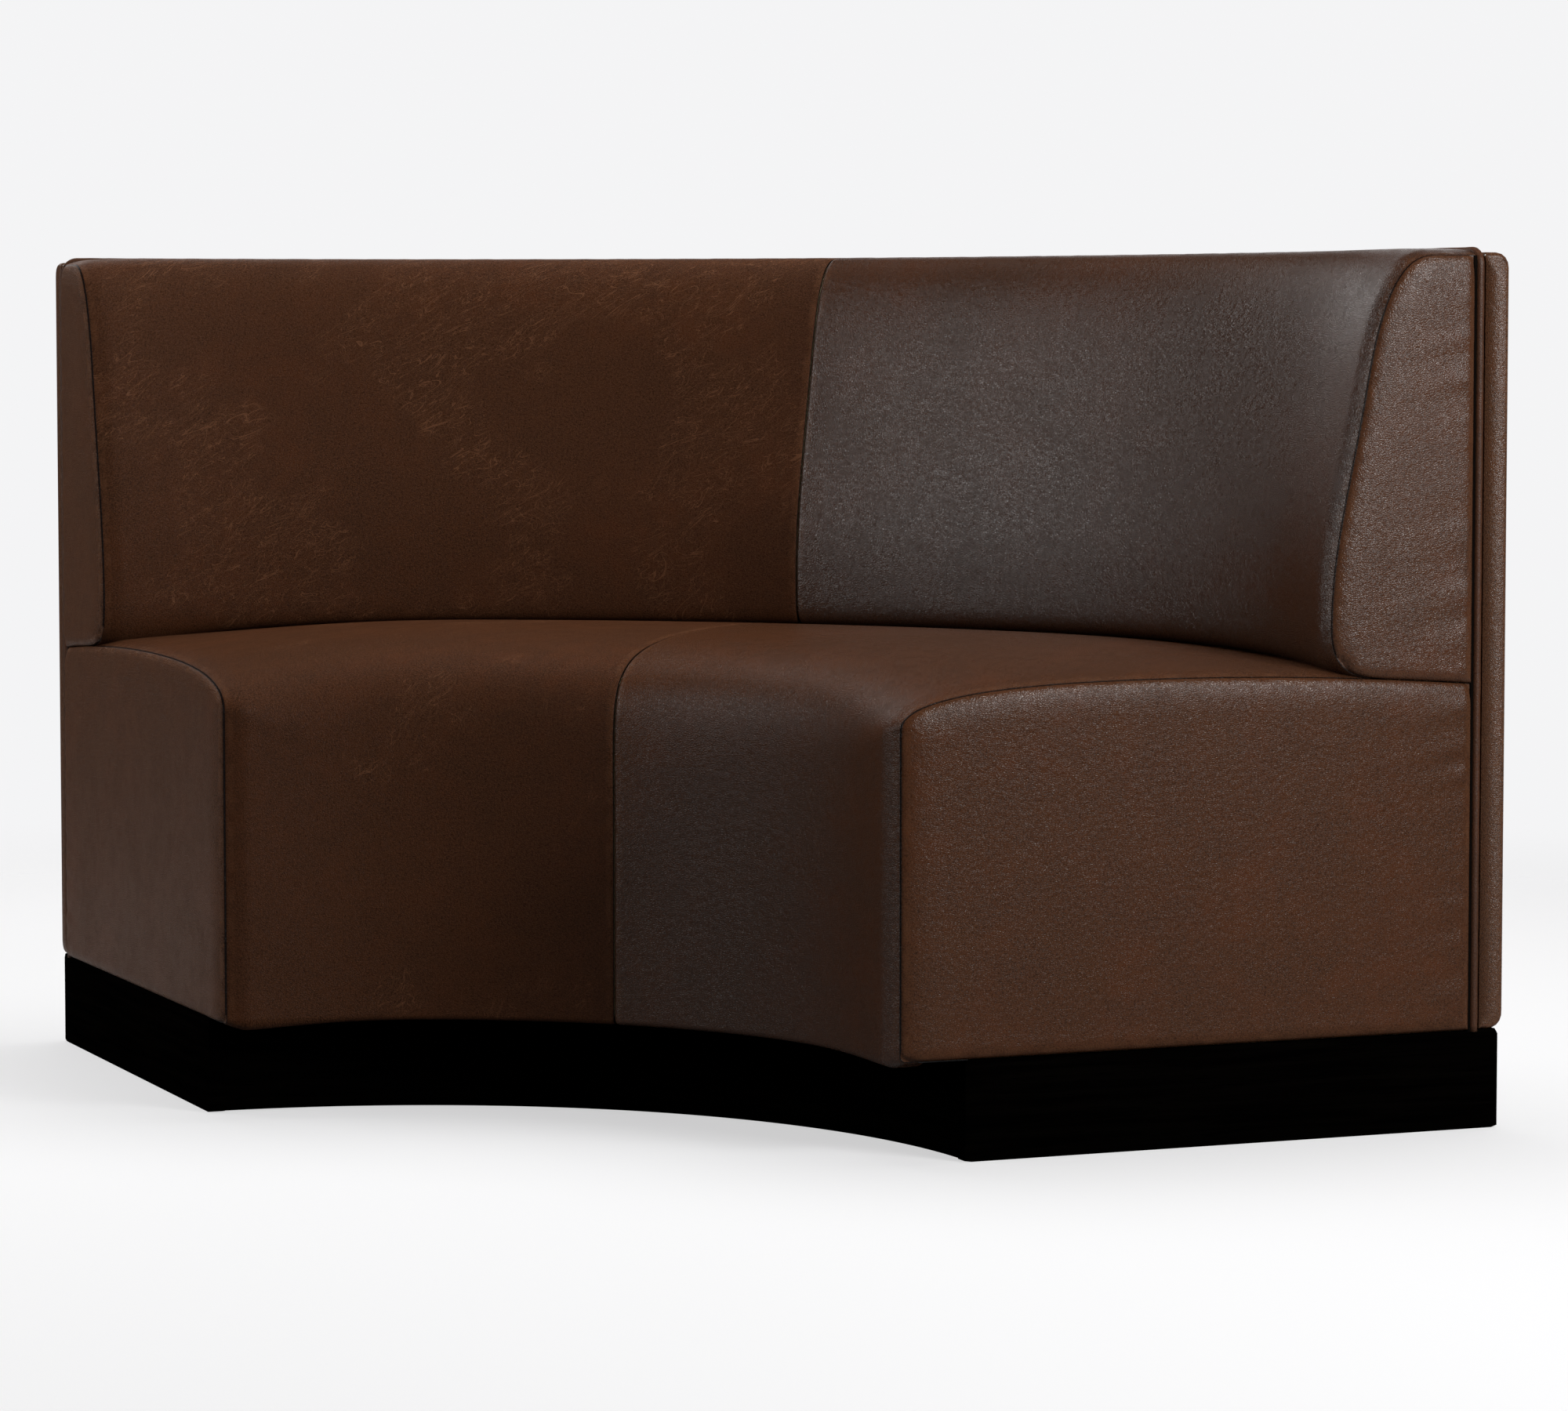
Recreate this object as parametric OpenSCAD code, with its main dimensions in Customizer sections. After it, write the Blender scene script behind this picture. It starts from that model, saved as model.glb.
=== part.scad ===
// Curved corner banquette bench: a quarter-turn wedge with a tight crowned seat,
// a tight inside back, a thin piped outer back panel and a recessed toe plinth.
// The frame is glued up from sheet plywood and radial ribs, the padding is foam
// under leather. Sections are drawn as radius and height and swept round the
// centre of the quarter turn, which lies in front of the sitter.

/* [Plan] */
// Angle that the bench sweeps round its centre
sweep_angle = 90; // [50:1:110]
// Radius of the outside of the back
outer_back_r = 1219.5; // [1150:0.5:1500]
// Depth from the seat front to the outside of the back
bench_depth = 684; // [660:1:740]
// How far the plinth stands back from the seat front
toe_recess = 74; // [50:1:120]
// How far the plinth stands in from the outside of the back
plinth_back_inset = 5; // [2:0.5:12]
// How far the plinth stands in from the end faces
plinth_end_inset = 2; // [1:0.5:8]

/* [Heights] */
// Height of the plinth
plinth_h = 103.6; // [80:0.1:130]
// Height of the seat crest along its end seams
seat_h = 477.2; // [460:0.1:500]
// Extra height of the seat crest in the middle
seat_crown = 29.5; // [10:0.5:40]
// Height of the top of the outer back panel
outer_panel_h = 907; // [865:0.5:965]
// How far below that the back cushion has its end seams
back_drop = 3; // [1:0.5:8]
// Extra height of the back cushion away from its ends
back_crown = 7.5; // [2:0.5:12]
// How far the piping stands above the outer back panel
piping_rise = 5.8; // [3:0.1:8]

/* [Seat cushion] */
// How far the middle of the seat front swells past its ends
seat_front_swell = 9; // [2:0.5:14]
// Distance from the seat front back to the crest
crest_set_back = 300; // [240:5:360]
// Height of the rolled front edge at the end seams
nose_drop_end = 44; // [30:1:70]
// Height of the rolled front edge in the middle
nose_drop_mid = 127; // [80:1:150]
// Fall of the seat from its crest to the back, at the ends
rear_drop_end = 6; // [2:0.5:10]
// Fall of the seat from its crest to the back, in the middle
rear_drop_mid = 14; // [8:0.5:20]
// Angle over which the seat crown rises from each end seam
seat_crown_reach = 25; // [10:1:25]
// Radius of the lower edges of the upholstery
edge_r = 6; // [6:0.5:9]
// Height of the lower edge of the upholstery above the plinth top
under_gap = 2; // [1:0.5:6]

/* [Back cushion] */
// Depth of the back at the end seams, from its face to the outside
back_depth_end = 205; // [195:1:220]
// How much shallower the back is in the middle
back_hollow = 10; // [2:0.5:16]
// Height of the rolled lower edge at the end seams
roll_h_end = 50; // [30:1:70]
// Height of the rolled lower edge in the middle
roll_h_mid = 56; // [40:1:80]
// How far the face leans back by the start of the top roll
face_lean = 41; // [30:1:50]
// Depth of the top roll down from the top of the cushion
top_roll_drop = 124; // [90:1:150]
// Depth of the top roll from the face to the flat top
top_roll_depth = 79; // [60:1:90]
// Angle over which the back crown rises from each end seam
back_crown_reach = 9; // [4:1:20]

/* [Leather and seams] */
// Thickness of the leather with its lining
hide_t = 2; // [1.2:0.1:3]
// Gap kept between pieces that touch
fit = 0.3; // [0.2:0.05:0.5]
// Gap in the crease between the seat and the back
crevice_gap = 0.8; // [0.6:0.1:1.5]
// How far the end panels swell out past the end faces
panel_bulge = 3; // [1:0.5:6]
// Radius of the end panels where they turn in to their seams
panel_round = 5; // [3:0.5:5.5]
// Depth of the seams behind the end faces
seam_depth = 1.5; // [1:0.1:3]
// Depth of the groove at the middle seams
groove_depth = 2.5; // [1:0.5:4]
// Width of the gap between the two middle covers
groove_gap = 0.4; // [0.3:0.1:1]
// Diameter of the piping
piping_d = 9.9; // [8:0.1:12]
// Radius of the piping at the top corners
piping_corner_r = 14; // [10:1:24]
// How far the piping stands proud of the end faces
piping_proud = 1.5; // [0.5:0.1:3]

/* [Outer back panel] */
// Thickness of the whole outer back panel
outer_panel_t = 29; // [26:0.5:36]
// Radius of its upper and lower outer edges
outer_edge_r = 15; // [8:1:20]
// Thickness of its board
outer_board_t = 18; // [12:0.5:20]
// Padding past the edges of its board
outer_board_margin = 8; // [6:0.5:14]

/* [Frame] */
// Thickness of the ribs, gables, base board and top rail
ply_t = 18; // [12:1:20]
// Thickness of the seat deck
deck_t = 15; // [12:1:20]
// Depth of the padding from the seat's end seams down to the deck
seat_pad_depth = 96; // [85:1:105]
// Thickness of the curved board behind the seat front
front_board_t = 9; // [6:0.5:12]
// Padding between the leather and that board
front_pad = 8.5; // [6:0.5:14]
// Thickness of the curved board behind the back cushion
back_board_t = 6; // [4:0.5:9]
// Distance from the back board, at the deck, to the outside
back_board_set = 152; // [145:1:160]
// Angle that the back board leans back
rake_angle = 6; // [3:0.5:7]
// Distance from the top of the cushion down to the top rail
rail_drop = 42; // [34:1:60]
// Number of ribs between the gables
rib_count = 4; // [2:1:6]
// Thickness of the dust cover under the seat front
dust_cover_t = 1; // [0.8:0.1:2]
// How far the covers reach in front of the back board
tuck_set = 4; // [2:0.5:8]

/* [Plinth] */
// Thickness of the plinth boards
plinth_t = 18; // [12:1:22]
// Number of cross boards in the plinth
cross_count = 3; // [1:1:5]
// Width of the corner blocks
block_w = 40; // [30:1:50]
// Diameter of the screws that hold the bench to its plinth
screw_d = 5; // [4:0.5:6]
// Diameter of their countersunk heads
screw_head_d = 10; // [8:0.5:12]
// Length of those screws
screw_l = 60; // [40:1:75]

/* [Hidden] */

// Fineness of the true curves
$fn = 96;
// Overrun of cuts
over = 1;

// Radii and heights that follow from the sizes above
half = sweep_angle/2;
front_r = outer_back_r - bench_depth;
outer_in_r = outer_back_r - outer_panel_t;
piping_r = outer_in_r - fit - piping_d/2;
cushion_rear_r = piping_r - piping_d/2 - fit;
frame_rear_r = outer_in_r - fit;
plinth_front_r = front_r + toe_recess;
plinth_back_r = outer_back_r - plinth_back_inset;
under_z = plinth_h + under_gap;
deck_h = seat_h - seat_pad_depth;
back_h = outer_panel_h - back_drop;
piping_top_h = outer_panel_h + piping_rise;
board_front_r = front_r + hide_t + front_pad;
board_rear_r = board_front_r + front_board_t;
board_low_z = under_z + hide_t + fit;
base_top_z = plinth_h + ply_t;
deck_low_z = deck_h - deck_t;
rail_top_z = back_h - rail_drop;
rail_low_z = rail_top_z - ply_t;
back_board_r = outer_back_r - back_board_set;
tuck_r = back_board_r - tuck_set;
face_r = outer_back_r - back_depth_end;
top_crest_r = face_r + face_lean + top_roll_depth;
piping_z = piping_top_h - piping_d/2;
piping_depth = piping_d/2 - piping_proud;
gable_depth = seam_depth + fit;

// Centre of the quarter turn, measured from the middle of the bench's plan
centre_y = -(outer_back_r + front_r*cos(half))/2;

// Shape of the crown between an end seam (share 0) and the open middle (share 1)
crown_power = 2.2;
// Places along each half of a cover, from the middle seam (0) to the end seam (1)
station_shares = [0, 0.01, 0.03, 0.1, 0.22, 0.35, 0.48, 0.6, 0.72, 0.82, 0.9, 0.96, 1];
// Points of the seat leather that lie on its flange and lower edge
flange_points = 4;
// Width of the middle groove as a share of half the sweep
groove_share = 0.03;
// Places along the curves of the seat and back sections
nose_shares = [0, 0.12, 0.24, 0.36, 0.48, 0.6, 0.74, 0.87, 1];
rear_shares = [0.35, 0.7, 1];
roll_shares = [0, 0.25, 0.5, 0.75, 1];
face_shares = [0.25, 0.5, 0.75, 1];
top_shares = [0.15, 0.3, 0.45, 0.6, 0.8, 1];
// Pull of the seat nose towards its upper front corner, at the ends and in the middle
nose_rise_shares = [0.7, 0.8];
nose_run_shares = [0.66, 0.98];
// Pull of the back's lower roll towards its lower front corner
roll_pull_shares = [0.65, 0.93];
// Pull of the back's top roll upwards and forwards
top_rise_shares = [0.98, 0.64];
top_run_shares = [0.27, 0.53];
// Lean of the face where the top roll starts
top_slope_shares = [0.181, 0.238];
// Pull of the face at its lower and upper ends
face_pull_shares = [0.33, 0.5];
// Turns of an end panel's rounded edge, and the size of its inner ring
panel_turns = [0, 35, 65, 90];
panel_ring_share = 0.7;
// Bulge at the rounded edge of an end panel
panel_edge_share = 0.6;
// Sides of the piping and steps along it
piping_sides = 8;
piping_steps = 48;
corner_steps = 4;
// Places of the plinth screws across the depth of the bench
screw_shares = [0.14, 0.88];
// Angles at which the frame ribs and the plinth's cross boards stand
function rib_angle(i) = half*(2*(i + 0.5)/rib_count - 1);
function cross_angle(i) = half*(2*(i + 1)/(cross_count + 1) - 1);

// Colours as the bench is seen
leather_colour = [0.24, 0.15, 0.10];
piping_colour = [0.20, 0.12, 0.08];
plinth_colour = [0.03, 0.03, 0.03];
ply_colour = [0.76, 0.62, 0.43];
foam_colour = [0.93, 0.89, 0.74];
wadding_colour = [0.92, 0.92, 0.90];
cloth_colour = [0.06, 0.06, 0.06];
steel_colour = [0.70, 0.71, 0.73];

// Blend from a to b
function mix(a, b, s) = a + (b - a)*s;
function mix_of(pair, s) = mix(pair[0], pair[1], s);

// Point at share s on a curve from p0 to p3, pulled towards p1 and p2
function curve(p0, p1, p2, p3, s) =
    pow(1 - s, 3)*p0 + 3*pow(1 - s, 2)*s*p1 + 3*(1 - s)*s*s*p2 + s*s*s*p3;

// Crown at a station: 0 on the end seam, 1 beyond the reach
function crown(share, reach) =
    let (away = (1 - abs(share))*half)
    away >= reach ? 1 : 1 - pow(1 - away/reach, crown_power);

// Depth of the groove at the middle seam
function groove(share) =
    abs(share) >= groove_share ? 0 : groove_depth*pow(1 - abs(share)/groove_share, 2);

// Seat section: front, crest and top surface at crown c
function seat_front(c) = front_r - seat_front_swell*c;
function seat_crest(c) = [seat_front(c) + crest_set_back, seat_h + seat_crown*c];
function seat_top_z(r, c) =
    let (crest = seat_crest(c), run = (r - crest[0])/(tuck_r - crest[0]))
    crest[1] - mix(rear_drop_end, rear_drop_mid, c)*run*run;
function seat_nose_z(c) = seat_crest(c)[1] - mix(nose_drop_end, nose_drop_mid, c);
function seat_nose(c) =
    let (low = [seat_front(c), seat_nose_z(c)], crest = seat_crest(c))
    [for (s = nose_shares) curve(
        low,
        [low[0], mix(low[1], crest[1], mix_of(nose_rise_shares, c))],
        [mix(crest[0], low[0], mix_of(nose_run_shares, c)), crest[1]],
        crest,
        s)];
function seat_rear(c, end_r) =
    [for (s = rear_shares) let (r = mix(seat_crest(c)[0], end_r, s)) [r, seat_top_z(r, c)]];

// Seat leather from its flange under the front board, round the nose, to the tuck
function seat_line(c) =
    let (f = seat_front(c), turn = edge_r*(1 - cos(45)))
    concat(
        [[board_rear_r - fit, under_z], [f + edge_r, under_z], [f + turn, under_z + turn],
            [f, under_z + edge_r]],
        seat_nose(c),
        seat_rear(c, tuck_r));
function seat_pad_line(c) =
    concat([[seat_front(c), under_z + edge_r]], seat_nose(c), seat_rear(c, tuck_r));

// Back section at seat crown cs and back crown cb
function back_face(cb) = face_r + back_hollow*cb;
function back_start(cs) = [tuck_r, seat_top_z(tuck_r, cs) + crevice_gap];
function back_roll_end(cs, cb) =
    [back_face(cb), back_start(cs)[1] + mix(roll_h_end, roll_h_mid, cs)];
function back_top_start(cb) = [back_face(cb) + face_lean, back_h - top_roll_drop];
function back_crest(cb) = [back_face(cb) + face_lean + top_roll_depth, back_h + back_crown*cb];
function back_roll(cs, cb) =
    let (
        start = back_start(cs),
        stop = back_roll_end(cs, cb),
        pull = mix_of(roll_pull_shares, cs),
        r = mix(start[0], stop[0], pull))
    [for (s = roll_shares) curve(
        start,
        [r, seat_top_z(r, cs) + crevice_gap],
        [stop[0], mix(stop[1], start[1], pull)],
        stop,
        s)];
function back_front(cs, cb) =
    let (
        low = back_roll_end(cs, cb),
        high = back_top_start(cb),
        rise = high[1] - low[1],
        lean = [mix_of(top_slope_shares, cb), 1])
    [for (s = face_shares) curve(
        low,
        [low[0], low[1] + rise*face_pull_shares[0]],
        high - lean*rise*face_pull_shares[1],
        high,
        s)];
function back_top(cb) =
    let (
        low = back_top_start(cb),
        crest = back_crest(cb),
        lean = [mix_of(top_slope_shares, cb), 1])
    [for (s = top_shares) curve(
        low,
        low + lean*(crest[1] - low[1])*mix_of(top_rise_shares, cb),
        [mix(crest[0], low[0], mix_of(top_run_shares, cb)), crest[1]],
        crest,
        s)];
function back_line(cs, cb) = concat(
    back_roll(cs, cb),
    back_front(cs, cb),
    back_top(cb),
    [[cushion_rear_r, back_crest(cb)[1]]]);

// Offset of an open line of section points towards the padding, by w
function inward(a, b) = let (d = (b - a)/norm(b - a)) [d[1], -d[0]];
function miter(n1, n2) = (n1 + n2)/(1 + n1*n2);
function inset_line(line, w) =
    [for (i = [0 : len(line) - 1])
        let (
            before = inward(line[max(i - 1, 0)], line[max(i, 1)]),
            after = inward(line[min(i, len(line) - 2)], line[min(i + 1, len(line) - 1)]))
        line[i] + w*miter(before, after)];
// The same, with the points from number first on set in by g more
function grooved_line(line, w, g, first) =
    let (plain = inset_line(line, w), deep = inset_line(line, w + g))
    [for (i = [0 : len(line) - 1]) i < first ? plain[i] : deep[i]];
// The same for a closed outline
function inset_loop(loop, w) =
    let (n = len(loop))
    [for (i = [0 : n - 1])
        loop[i] + w*miter(
            inward(loop[(i + n - 1)%n], loop[i]),
            inward(loop[i], loop[(i + 1)%n]))];
function reversed(list) = [for (i = [len(list) - 1 : -1 : 0]) list[i]];

// Section point [r, z] placed at a share of the half sweep, with a gap at the
// middle plane and a depth behind the end plane
function around(p, share, mid_gap, end_depth) =
    let (
        a0 = asin(mid_gap/p[0]),
        a1 = half - asin(end_depth/p[0]),
        t = share < 0 ? -mix(a0, a1, -share) : mix(a0, a1, share))
    [p[0]*sin(t), p[0]*cos(t) + centre_y, p[1]];

// Point at radius r and height z on the right end plane, out past it by outward
function on_end(r, z, outward) = [
    r*sin(half) + outward*cos(half),
    r*cos(half) - outward*sin(half) + centre_y,
    z];

// Triangles of the skin between m sections of n points. The points from number
// inner on are an inside line drawn backwards, and the sections before number
// middle mirror those after it, so there the squares are split the other way:
// layers that lie on each other are then split alike.
function skin_faces(n, m, inner, middle) =
    [for (j = [0 : m - 2], i = [0 : n - 1])
        let (a = j*n + i, b = j*n + (i + 1)%n)
        each (i >= inner) != (j < middle)
            ? [[a, a + n, b + n], [a, b + n, b]]
            : [[a, a + n, b], [b, a + n, b + n]]];

// Shell between an outer and an inner line of k points, at each section
module shell(outers, inners) {
    k = len(outers[0]);
    n = 2*k;
    m = len(outers);
    points = [for (j = [0 : m - 1]) each concat(outers[j], reversed(inners[j]))];
    ends = [for (i = [0 : k - 2])
        each [[i, i + 1, n - 1 - i], [i + 1, n - 2 - i, n - 1 - i]]];
    last = [for (f = ends) [for (i = [2, 1, 0]) f[i] + (m - 1)*n]];
    polyhedron(points, concat(ends, skin_faces(n, m, k, 0), last));
}

// Solid through closed sections, each seen whole from its point number hub
module lofted(sections, hub, middle = 0) {
    n = len(sections[0]);
    m = len(sections);
    points = [for (s = sections) each s];
    ends = [for (i = [1 : n - 2]) [hub, (hub + i)%n, (hub + i + 1)%n]];
    last = [for (f = ends) [for (i = [2, 1, 0]) f[i] + (m - 1)*n]];
    polyhedron(points, concat(ends, skin_faces(n, m, n, middle), last));
}

// Section swept over the whole turn between planes set in from the end faces
module swept(depth) {
    intersection() {
        translate([0, centre_y, 0])
            rotate([0, 0, 90 - half - 1])
                rotate_extrude(angle = sweep_angle + 2, $fn = 360)
                    children();
        wedge(depth);
    }
}

// Plan of the bench between planes set in from the end faces by depth
module wedge(depth) {
    reach = 2*outer_back_r;
    apex = centre_y + depth/sin(half);
    linear_extrude(height = piping_top_h)
        polygon([
            [0, apex],
            [reach*sin(half), apex + reach*cos(half)],
            [0, apex + 2*reach],
            [-reach*sin(half), apex + reach*cos(half)]]);
}

// Box on the right end plane: from radius r0 to r1, from z0 to z1, depth d0 to d1
module end_box(r0, r1, z0, z1, d0, d1) {
    translate([0, centre_y, 0])
        rotate([0, 0, -half])
            translate([-d1, r0, z0])
                cube([d1 - d0, r1 - r0, z1 - z0]);
}

// Box round a radial plane at angle a, w wide
module radial_box(a, w, r0, r1, z0, z1) {
    translate([0, centre_y, 0])
        rotate([0, 0, -a])
            translate([-w/2, r0, z0])
                cube([w, r1 - r0, z1 - z0]);
}

module left_of_right() {
    mirror([1, 0, 0]) children();
}

module both_ends() {
    children();
    mirror([1, 0, 0]) children();
}

// Ring section from r0 to r1 and from z0 to z1
module ring_section(r0, r1, z0, z1) {
    translate([r0, z0]) square([r1 - r0, z1 - z0]);
}

// Places of the plinth screws: two in each cross board and one in each corner block
module at_screws() {
    r_in = plinth_front_r + plinth_t;
    r_out = plinth_back_r - plinth_t;
    for (i = [0 : cross_count - 1], s = screw_shares)
        translate([0, centre_y, 0])
            rotate([0, 0, -cross_angle(i)])
                translate([0, mix(r_in, r_out, s), 0]) children();
    both_ends()
        for (r = [r_in + fit + block_w/2, frame_rear_r - block_w/2 - plinth_t])
            translate([0, centre_y, 0])
                rotate([0, 0, -half])
                    translate([-(plinth_end_inset + plinth_t + fit + block_w/2), r, 0])
                        children();
}

// One screw with its head flush in the base board, grown by gap for its hole
module screw_body(gap) {
    head_h = (screw_head_d - screw_d)/2;
    translate([0, 0, base_top_z - screw_l - gap])
        cylinder(d = screw_d + 2*gap, h = screw_l - head_h/2 + 2*gap, $fn = 24);
    translate([0, 0, base_top_z - head_h])
        cylinder(d1 = screw_d + 2*gap, d2 = screw_head_d + 2*gap, h = head_h, $fn = 24);
}

module screw_holes() {
    at_screws() screw_body(fit/2);
}

// Plinth: curved front and back between flat ends, with cross boards and blocks
module plinth_front() {
    color(plinth_colour)
        swept(plinth_end_inset + plinth_t)
            ring_section(plinth_front_r, plinth_front_r + plinth_t, 0, plinth_h);
}

module plinth_back() {
    color(plinth_colour)
        swept(plinth_end_inset + plinth_t)
            ring_section(plinth_back_r - plinth_t, plinth_back_r, 0, plinth_h);
}

module plinth_end_right() {
    color(plinth_colour)
        intersection() {
            swept(plinth_end_inset)
                ring_section(plinth_front_r, plinth_back_r, 0, plinth_h);
            end_box(plinth_front_r - plinth_t, plinth_back_r + plinth_t, 0, plinth_h,
                plinth_end_inset - over, plinth_end_inset + plinth_t);
        }
}

module plinth_cross_boards() {
    color(ply_colour)
        difference() {
            intersection() {
                swept(0)
                    ring_section(plinth_front_r + plinth_t + fit,
                        plinth_back_r - plinth_t - fit, 0, plinth_h);
                union()
                    for (i = [0 : cross_count - 1])
                        radial_box(cross_angle(i), plinth_t,
                            plinth_front_r, plinth_back_r, 0, plinth_h);
            }
            screw_holes();
        }
}

module plinth_corner_blocks() {
    near = plinth_end_inset + plinth_t + fit;
    color(ply_colour)
        difference() {
            both_ends()
                for (r = [plinth_front_r + plinth_t + 2*fit,
                        frame_rear_r - plinth_t - block_w])
                    end_box(r, r + block_w, fit, plinth_h, near, near + block_w);
            screw_holes();
        }
}

module plinth_screws() {
    color(steel_colour) at_screws() screw_body(0);
}

// Frame: base board, chair-shaped gables and ribs, curved boards, deck and rail
module base_board() {
    color(ply_colour)
        difference() {
            swept(gable_depth)
                ring_section(board_rear_r + fit, frame_rear_r, plinth_h, base_top_z);
            screw_holes();
            both_ends() piping_rebate();
        }
}

// Slot behind the end panels in which the piping lies
module piping_rebate() {
    end_box(cushion_rear_r, outer_in_r + over, 0, piping_top_h,
        -over, piping_depth + piping_d/2 + fit);
}

// Front line of the leaning back board at height z
function board_line_r(z) = back_board_r + (z - deck_h)*tan(rake_angle);

// Side outline of a gable or rib: under the deck, up the back, under the rail
module chair_outline() {
    up = back_board_t + fit;
    polygon([
        [board_rear_r + fit, base_top_z],
        [board_rear_r + fit, deck_low_z],
        [board_line_r(deck_low_z) + up, deck_low_z],
        [board_line_r(rail_low_z) + up, rail_low_z],
        [frame_rear_r - fit, rail_low_z],
        [frame_rear_r - fit, base_top_z]]);
}

module chair_board() {
    rotate([90, 0, 90])
        linear_extrude(height = ply_t)
            chair_outline();
}

module gable_right() {
    color(ply_colour)
        difference() {
            translate([0, centre_y, 0])
                rotate([0, 0, -half])
                    translate([-gable_depth - ply_t, 0, 0]) chair_board();
            piping_rebate();
        }
}

module frame_rib(i) {
    color(ply_colour)
        translate([0, centre_y, 0])
            rotate([0, 0, -rib_angle(i)])
                translate([-ply_t/2, 0, 0]) chair_board();
}

module seat_front_board() {
    color(ply_colour)
        swept(gable_depth)
            ring_section(board_front_r, board_rear_r, board_low_z, deck_low_z);
}

module seat_deck() {
    color(ply_colour)
        swept(gable_depth)
            polygon([
                [board_front_r, deck_low_z],
                [board_front_r, deck_h],
                [board_line_r(deck_h) + back_board_t, deck_h],
                [board_line_r(deck_low_z) + back_board_t, deck_low_z]]);
}

module back_board() {
    color(ply_colour)
        swept(gable_depth)
            polygon([
                [board_line_r(deck_h), deck_h],
                [board_line_r(rail_top_z), rail_top_z],
                [board_line_r(rail_top_z) + back_board_t, rail_top_z],
                [board_line_r(deck_h) + back_board_t, deck_h]]);
}

module top_rail() {
    set = back_board_t + fit;
    color(ply_colour)
        difference() {
            swept(gable_depth)
                polygon([
                    [board_line_r(rail_low_z) + set, rail_low_z],
                    [board_line_r(rail_top_z) + set, rail_top_z],
                    [frame_rear_r, rail_top_z],
                    [frame_rear_r, rail_low_z]]);
            both_ends() piping_rebate();
        }
}

module dust_cover() {
    color(cloth_colour)
        swept(gable_depth)
            ring_section(board_rear_r + 2*fit, plinth_front_r - fit,
                plinth_h - dust_cover_t, plinth_h);
}

// Outer back panel: board, wadding and leather, rounded on its outer edges
module outer_section(w) {
    low = plinth_h + fit + w;
    high = outer_panel_h - w;
    r = outer_edge_r - w;
    out_r = outer_back_r - w;
    ring_section(outer_in_r, out_r, low + r, high - r);
    ring_section(outer_in_r, out_r - r, low, high);
    for (z = [low + r, high - r])
        translate([out_r - r, z]) circle(r, $fn = 64);
}

module outer_back_board() {
    color(ply_colour)
        swept(outer_board_margin)
            ring_section(outer_in_r, outer_in_r + outer_board_t,
                plinth_h + fit + outer_board_margin, outer_panel_h - outer_board_margin);
}

module outer_back_wadding() {
    color(wadding_colour)
        difference() {
            swept(hide_t + fit) outer_section(hide_t + fit);
            swept(outer_board_margin - fit)
                ring_section(outer_in_r - over, outer_in_r + outer_board_t + fit,
                    plinth_h + outer_board_margin,
                    outer_panel_h - outer_board_margin + fit);
        }
}

module outer_back_cover() {
    color(leather_colour)
        difference() {
            swept(0) outer_section(0);
            swept(hide_t) {
                outer_section(hide_t);
                ring_section(outer_in_r - over, outer_in_r + over,
                    plinth_h + fit + hide_t, outer_panel_h - hide_t);
            }
        }
}

// Piping: up one end, round a corner, along the top and down the other end
function piping_path() =
    let (
        a = half - asin((piping_depth + piping_corner_r)/piping_r),
        low = plinth_h + fit,
        corner_z = piping_z - piping_corner_r,
        rise = concat(
            [low, mix(low, corner_z, 1/2)],
            [corner_z]),
        turns = [for (i = [1 : corner_steps - 1]) 90*i/corner_steps],
        right = concat(
            [for (z = rise) on_end(piping_r, z, -piping_depth)],
            [for (t = turns) on_end(
                piping_r,
                corner_z + piping_corner_r*sin(t),
                -piping_depth - piping_corner_r*(1 - cos(t)))]),
        top = [for (i = [0 : piping_steps])
            let (t = a*(1 - 2*i/piping_steps))
            [piping_r*sin(t), piping_r*cos(t) + centre_y, piping_z]])
    concat(right, top, [for (p = reversed(right)) [-p[0], p[1], p[2]]]);

function unit(v) = v/norm(v);

module piping() {
    path = piping_path();
    n = len(path);
    r = piping_d/2;
    rings = [for (i = [0 : n - 1])
        let (
            along = unit(path[min(i + 1, n - 1)] - path[max(i - 1, 0)]),
            out = [path[i][0], path[i][1] - centre_y, 0],
            side = unit(out - along*(out*along)),
            up = cross(along, side))
        [for (k = [0 : piping_sides - 1])
            let (t = 360*k/piping_sides)
            path[i] + r*(side*cos(t) + up*sin(t))]];
    color(piping_colour) lofted(rings, 0);
}

// Leather over the section line of each station, with its groove at the middle
// seam cut into the points from number first on
module half_cover(lines, first) {
    function layer(w) = [for (j = [0 : len(lines) - 1])
        let (s = station_shares[j])
        [for (p = grooved_line(lines[j], w, groove(s), first))
            around(p, s, groove_gap/2, seam_depth)]];
    color(leather_colour) shell(layer(0), layer(hide_t));
}

module seat_cover_right() {
    half_cover([for (s = station_shares) seat_line(crown(s, seat_crown_reach))],
        flange_points);
}

module back_cover_right() {
    half_cover([for (s = station_shares)
        back_line(crown(s, seat_crown_reach), crown(s, back_crown_reach))], 0);
}

// Stations over the whole turn, from the left end seam to the right one
function all_stations() = concat(
    [for (i = [len(station_shares) - 1 : -1 : 1]) -station_shares[i]],
    station_shares);

module seat_foam() {
    r = board_front_r - fit;
    inner = [[tuck_r, deck_h + fit], [r, deck_h + fit], [r, under_z + edge_r]];
    sections = [for (s = all_stations())
        let (line = inset_line(seat_pad_line(crown(s, seat_crown_reach)),
            groove(s) + hide_t + fit))
        [for (p = concat(line, inner)) around(p, s, 0, seam_depth + fit)]];
    color(foam_colour)
        lofted(sections, len(sections[0]) - 2, len(station_shares) - 1);
}

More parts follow.
